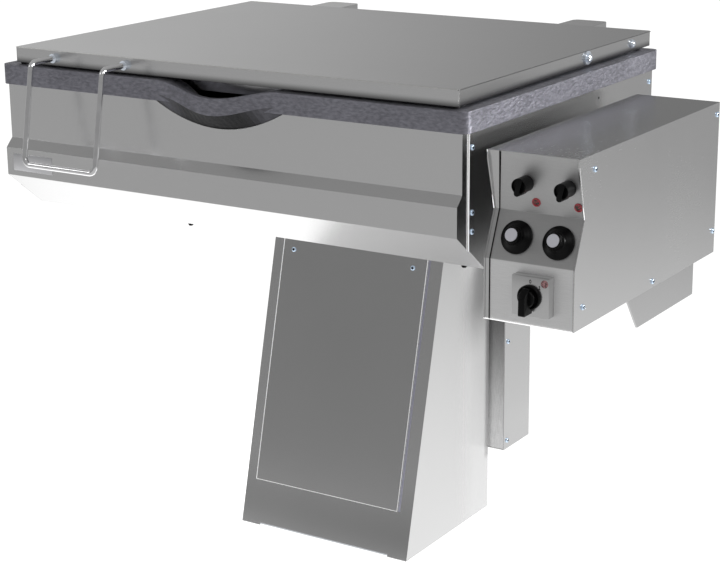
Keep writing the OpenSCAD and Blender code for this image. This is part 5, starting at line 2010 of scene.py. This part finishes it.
@dataclass
class ControlBox(Dressing):
    """The control box with its knobs, switch and lamps."""

    coats: dict[str, Finish] = field(
        default_factory=lambda: {
            "box_bracket": SHEET_BACK,
            "control_box_shell": BOX_SHEET,
            "control_box_inner_cover": GAP_SHEET,
            "control_fascia": FASCIA_SHEET,
            "casing_screws": SCREW_STEEL,
            "rotary_switches": BLACK,
            "thermostats": PLATE_ZINC,
            "switch_plate": SWITCH_GREY,
            "pilot_lights": LENS,
            "zone_knob_left": BLACK,
            "zone_knob_right": BLACK,
            "thermostat_knob_left": BLACK,
            "thermostat_knob_right": BLACK,
            "thermostat_cap_left": CAP_GREY,
            "thermostat_cap_right": CAP_GREY,
            "main_switch_knob": BLACK,
        }
    )

    def build(self) -> None:
        """Builds the knobs, the switch and the lamps."""
        for side in ("left", "right"):
            ZoneKnob(side).build()
            ThermostatKnob(side).build()
        MainSwitch().build()
        PilotLamps().build()


@dataclass
class Pan(Dressing):
    """The cast pan with its casing, heating and tilt frame."""

    coats: dict[str, Finish] = field(
        default_factory=lambda: {
            "pan_casting": IRON,
            "front_panel": SHEET,
            "side_panel_left": SHEET,
            "side_panel_right": GAP_SHEET,
            "rear_panel": SHEET,
            "bottom_panel": SHEET_BACK,
            "pan_fasteners": SCREW_STEEL,
            "insulation_mat": WOOL,
            "heating_elements": SHEATH,
            "element_clamps": PLATE_ZINC,
            "temperature_probes": PROBE_COPPER,
            "tilt_frame": PLATE_ZINC,
            "tilt_shaft": SHAFT_STEEL,
            "tilt_gear_segment": GEAR_STEEL,
            "shaft_collars": SHAFT_STEEL,
            "hinge_brackets": PLATE_ZINC,
            "hinge_pins": SHAFT_STEEL,
            "hinge_springs": GEAR_STEEL,
        }
    )


@dataclass
class Lid(Dressing):
    """The double-skinned lid with its handle and hinge housings."""

    coats: dict[str, Finish] = field(
        default_factory=lambda: {
            "lid_shell": LID_SHEET,
            "lid_liner": SHEET_ACROSS,
            "lid_side_bars": SHEET_BACK,
            "lid_bolts": BOLT_STEEL,
            "lid_buffers": RUBBER,
            "hinge_housings": SHEET_ACROSS,
            "lid_handle": BRIGHT,
            "handle_nuts": BOLT_STEEL,
        }
    )


@dataclass(frozen=True)
class Line:
    """A thin line along the edge of a sheet, in millimetres of the shared frame."""

    name: str
    body: str
    finish: Finish
    radius: float
    paths: Sequence[Sequence[Point]]
    sides: int = 6

    def lay(self, sweep: PathSweep) -> None:
        """Sweeps the line and settles it.

        Args:
            sweep: The path tree.
        """
        piece = sweep.run(self.name, self.paths, self.radius, self.finish, self.sides)
        settle(piece, self.body)


@dataclass
class EdgeTrim:
    """Cut and folded edges of the sheets, bright with painted highlights, in millimetres of the shared
    frame.
    """

    box_right: float = 620.9
    box_left: float = 474.2
    box_line: tuple[tuple[float, float], ...] = (
        (-411.5, 817.0), (-408.6, 805.0), (-389.5, 726.0), (-418.5, 657.0), (-418.5, 564.5),
    )
    gap_x: tuple[float, ...] = (494.0, 492.6, 483.2, 483.2, 483.2)
    lid_side: float = 426.4
    lid_front: float = -413.5
    lid_rear: float = 266.5
    lid_top: float = 900.0
    plate_x: tuple[float, float] = (-424.0, -338.5)
    plate_z: tuple[float, float] = (693.0, 722.0)
    plate_y: float = -436.3
    plate_sunk: float = 0.2
    plate_proud: float = 0.6
    plate_edge: float = 0.15
    right_inset: float = 0.3
    right_proud: float = 0.3
    left_proud: float = 0.4
    foot_inset: float = 0.5
    foot_proud: float = 0.1
    foot_lift: float = 0.4
    gap_sunk: float = 0.8
    bead_shifts: tuple[float, float] = (3.4, 5.6)
    bead_sunk: float = 0.6
    lid_proud: float = 0.1
    fold_drop: float = 0.6
    seam_drop: float = 1.2

    def _plate(self) -> bpy.types.Mesh:
        """The bare plate at the left end of the lower band.

        Returns:
            Its mesh.
        """
        bm = bmesh.new()
        (x0, x1), (z0, z1) = self.plate_x, self.plate_z
        middle = Vector(((x0 + x1) / 2, self.plate_y, (z0 + z1) / 2)) * MM
        place = stand(middle, FORWARD) @ Matrix.Scale(MM, 4)
        half_w, half_h = (x1 - x0) / 2, (z1 - z0) / 2
        card = [(-half_w, -half_h), (half_w, -half_h), (half_w, half_h), (-half_w, half_h)]
        prism(bm, card, -self.plate_sunk, self.plate_proud, place)
        return close_mesh(bm, self.plate_edge * MM)

    def _box_edges(self, sweep: PathSweep) -> None:
        """Lays the box's cut edges, which glow as painted highlights: right, left and along its foot.

        Args:
            sweep: The path tree.
        """
        line = self.box_line
        right_x = self.box_right - self.right_inset
        right = [(right_x, y - self.right_proud, z) for y, z in line[1:3]]
        left = [(self.box_left, y - self.left_proud, z) for y, z in (line[0], line[2])]
        foot_y, foot_z = line[-1][0] - self.foot_proud, line[-1][1] + self.foot_lift
        low = [(x, foot_y, foot_z) for x in (self.box_left, self.box_right - self.foot_inset)]
        edges = [
            sweep.run("box_side_edges", [right, left], 0.5, CUT),
            sweep.run("box_low_edge", [low], 0.45, CUT),
        ]
        settle(merge("control_box_cut_edges", edges), "frame")

    def _sheet_lines(self) -> list[Line]:
        """The lines on the fascia and the door, which stand still.

        Returns:
            The lines.
        """
        gap = [
            (x, y + self.gap_sunk, z)
            for x, (y, z) in zip(self.gap_x, self.box_line, strict=True)
        ]
        door = corner_path("pedestal_door")
        beads = [
            [tuple(Vector(point) + Vector((shift, self.bead_sunk, 0))) for point in door[2:]]
            for shift in self.bead_shifts
        ]
        return [
            # Painted shadow: a black line in the fascia's left gap.
            Line("fascia_left_seam", "frame", GAP_SHADE, radius=0.7, paths=[gap]),
            # Painted highlights: the door's edges and the beads beside its right edge glow.
            Line("door_cut_edges", "frame", FOLD, radius=0.6, paths=[door]),
            Line("door_side_beads", "frame", BEAD, radius=1.3, paths=beads, sides=8),
        ]

    def _moving_lines(self) -> list[Line]:
        """The lines on the lid and on the pan's right side panel.

        Returns:
            The lines.
        """
        side, front, top = self.lid_side, self.lid_front, self.lid_top
        fold = [(x, front - self.lid_proud, top - self.fold_drop) for x in (-side, side)]
        seam_x, seam_z = side + self.lid_proud, top - self.seam_drop
        seam = [(seam_x, y, seam_z) for y in (front, self.lid_rear)]
        panel = front_line("side_panel_right")
        return [
            # Painted highlight: the lid's front fold glows dimly.
            Line("lid_front_fold", "lid", DULL_FOLD, radius=0.4, paths=[fold]),
            Line("lid_side_seam", "lid", SEAM, radius=0.5, paths=[seam]),
            # Painted highlight: the side panel's front edge glows.
            Line("side_panel_cut_edge", "pan", CUT, radius=0.5, paths=[panel]),
        ]

    def build(self, sweep: PathSweep) -> None:
        """Lays every edge, and the bare plate.

        Args:
            sweep: The path tree.
        """
        self._box_edges(sweep)
        for line in self._sheet_lines():
            line.lay(sweep)
        plate = show("blank_plate", self._plate(), PLATE_PALE)
        settle(plate, "pan")
        for line in self._moving_lines():
            line.lay(sweep)


@dataclass
class Studio:
    """The floor, the light and the camera. None of them is part of the pan."""

    eye: Point = (1.7346, -2.7333, 1.3671)
    yaw: float = 32.519
    pitch: float = 15.812
    roll: float = -0.542
    lens: float = 93.1
    floor_half: float = 14.0
    pool_tone: float = 1.17
    pool_fall: float = 0.235
    far_tone: float = 0.38
    patch_at: tuple[float, float] = (-0.72, -0.03)
    patch_edge: tuple[float, float] = (0.30, 0.75)
    patch_lift: float = 0.5
    front_tone: float = 0.48
    front_back: tuple[float, float] = (-0.62, -0.24)
    front_ahead: tuple[float, float] = (-0.42, -0.26)
    strip_tone: float = 1.03
    strip_spread: float = 0.25
    strip_edge: tuple[float, float] = (0.6, 1.2)
    strip_start: tuple[float, float] = (-0.5, 0.1)
    sky_front: float = 0.28
    sky_rear: float = 0.64
    sky_top: float = 0.35
    rear_way: tuple[float, float] = (-0.85, 0.53)
    rear_edge: tuple[float, float] = (0.80, 0.98)
    top_edge: tuple[float, float] = (0.35, 0.8)

    def camera(self) -> None:
        """Sets the camera at the photograph's viewing angle."""
        yaw, pitch, roll = (math.radians(a) for a in (self.yaw, self.pitch, self.roll))
        ahead = Vector(
            (-math.sin(yaw) * math.cos(pitch), math.cos(yaw) * math.cos(pitch), -math.sin(pitch))
        )
        side = ahead.cross(Vector((0, 0, 1))).normalized()
        above = side.cross(ahead)
        right = side * math.cos(roll) + above * math.sin(roll)
        up = above * math.cos(roll) - side * math.sin(roll)
        turn = Matrix((right, up, -ahead)).transposed().to_4x4()
        data = bpy.data.cameras.new("camera")
        data.sensor_width = 36.0
        data.lens = self.lens
        data.clip_start, data.clip_end = 0.05, 60.0
        eye = bpy.data.objects.new("camera", data)
        eye.matrix_world = Matrix.Translation(self.eye) @ turn
        bpy.context.scene.collection.objects.link(eye)
        bpy.context.scene.camera = eye

    def floor(self) -> None:
        """Lays a glowing floor of painted light, brightest under the pan and behind it, greyer in
        front.

        Its glow is a painted pool of light that falls off all round, with a patch at the left, a grey
        part in front of the picture's lower edge and a pale strip that runs away from the eye.
        """
        half = self.floor_half
        mesh = bpy.data.meshes.new("floor")
        mesh.from_pydata(
            [(-half, -half, 0), (half, -half, 0), (half, half, 0), (-half, half, 0)],
            [],
            [(0, 1, 2, 3)],
        )
        material = bpy.data.materials.new("floor_painted_glow")
        material.use_nodes = True
        desk = NodeDesk(material.node_tree)
        across, back, _ = desk.parts(desk.place())
        look = (-math.sin(math.radians(self.yaw)), math.cos(math.radians(self.yaw)))
        reach = self._length(across, back)
        pool = (self.pool_tone - reach * self.pool_fall).most(self.far_tone)
        left = self._length(across - self.patch_at[0], back - self.patch_at[1])
        pool = pool + (1.0 - left.steps(*self.patch_edge)) * self.patch_lift
        ahead = across * look[0] + back * look[1]
        front = (1.0 - back.steps(*self.front_back)) * (1.0 - ahead.steps(*self.front_ahead))
        aside = (across * look[1] - back * look[0]).size()
        within = 1.0 - (aside - ahead * self.strip_spread).steps(*self.strip_edge)
        strip = within * ahead.steps(*self.strip_start)
        tone = (pool * (1.0 - front) + front * self.front_tone).most(strip * self.strip_tone)
        desk.surface(
            {
                "Base Color": desk.blend(front, (0.10, 0.10, 0.10), (0.08, 0.08, 0.08)),
                "Roughness": 0.9,
                "Specular IOR Level": 0.0,
                "Emission Color": desk.add(
                    "ShaderNodeCombineColor", None, {0: tone, 1: tone, 2: tone}
                ),
                "Emission Strength": 1.0,
            }
        )
        mesh.materials.append(material)
        floor = show("floor", mesh)

    @staticmethod
    def _length(across: Sock, back: Sock) -> Sock:
        """The length of a flat vector.

        Args:
            across: Its X.
            back: Its Y.

        Returns:
            The length.
        """
        return (across * across + back * back) ** 0.5

    def sky(self) -> None:
        """Hangs a soft grey sky, a little brighter low down at the rear left."""
        world = bpy.data.worlds.new("studio")
        world.use_nodes = True
        desk = NodeDesk(world.node_tree)
        across, back, rise = desk.parts(desk.add("ShaderNodeTexCoord", out="Generated"))
        toward = across * self.rear_way[0] + back * self.rear_way[1]
        behind = toward.steps(*self.rear_edge)
        low_tone = behind * (self.sky_rear - self.sky_front) + self.sky_front
        high = rise.steps(*self.top_edge)
        tone = low_tone * (1.0 - high) + high * self.sky_top
        light = desk.add("ShaderNodeBackground", None, {"Color": (1, 1, 1), "Strength": tone})
        desk.add("ShaderNodeOutputWorld", None, {"Surface": light})
        bpy.context.scene.world = world

    def lamp(self, name: str, at: Point, to: Point, size: float, watts: float) -> None:
        """Hangs one soft square lamp.

        Args:
            name: The lamp's name.
            at: Where it hangs.
            to: What it points at.
            size: Its side in metres.
            watts: Its power.
        """
        data = bpy.data.lights.new(name, "AREA")
        data.size = size
        data.energy = watts
        lamp = bpy.data.objects.new(name, data)
        way = Vector(to) - Vector(at)
        turn = way.to_track_quat("-Z", "Y").to_matrix().to_4x4()
        lamp.matrix_world = Matrix.Translation(at) @ turn
        bpy.context.scene.collection.objects.link(lamp)

    def build(self) -> None:
        """Builds the whole studio."""
        self.camera()
        self.floor()
        self.sky()
        self.lamp("key", at=(2.8, -1.6, 3.2), to=(0.1, 0.0, 0.5), size=1.6, watts=14.0)
        self.lamp("side", at=(3.2, 1.2, 1.6), to=(0.3, 0.0, 0.85), size=0.8, watts=80.0)
        self.lamp("fill", at=(-3.2, -2.4, 2.8), to=(0.0, 0.0, 0.5), size=1.2, watts=10.0)
        view = bpy.context.scene.view_settings
        view.view_transform = "Standard"
        view.look = "None"
        view.exposure = 0.0
        view.gamma = 1.0


def main() -> None:
    """Builds the studio and every sub-assembly, the fasteners and the edge lines."""
    logging.basicConfig(level=logging.INFO, format="%(message)s", stream=sys.stdout)
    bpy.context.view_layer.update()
    Studio().build()
    for part in (Pedestal(), RearHousing(), ControlBox(), Pan(), Lid()):
        LOG.info("%s", type(part).__name__)
        part.dress()
        part.build()
    layout = FastenerLayout()
    for node, body, seed in (
        ("casing_screws", "frame", 3),
        ("frame_bolts", "frame", 5),
        ("pan_fasteners", "pan", 8),
    ):
        layout.renew(node, body, seed)
    layout.clear()
    EdgeTrim().build(PathSweep())


if __name__ == "__main__":
    main()
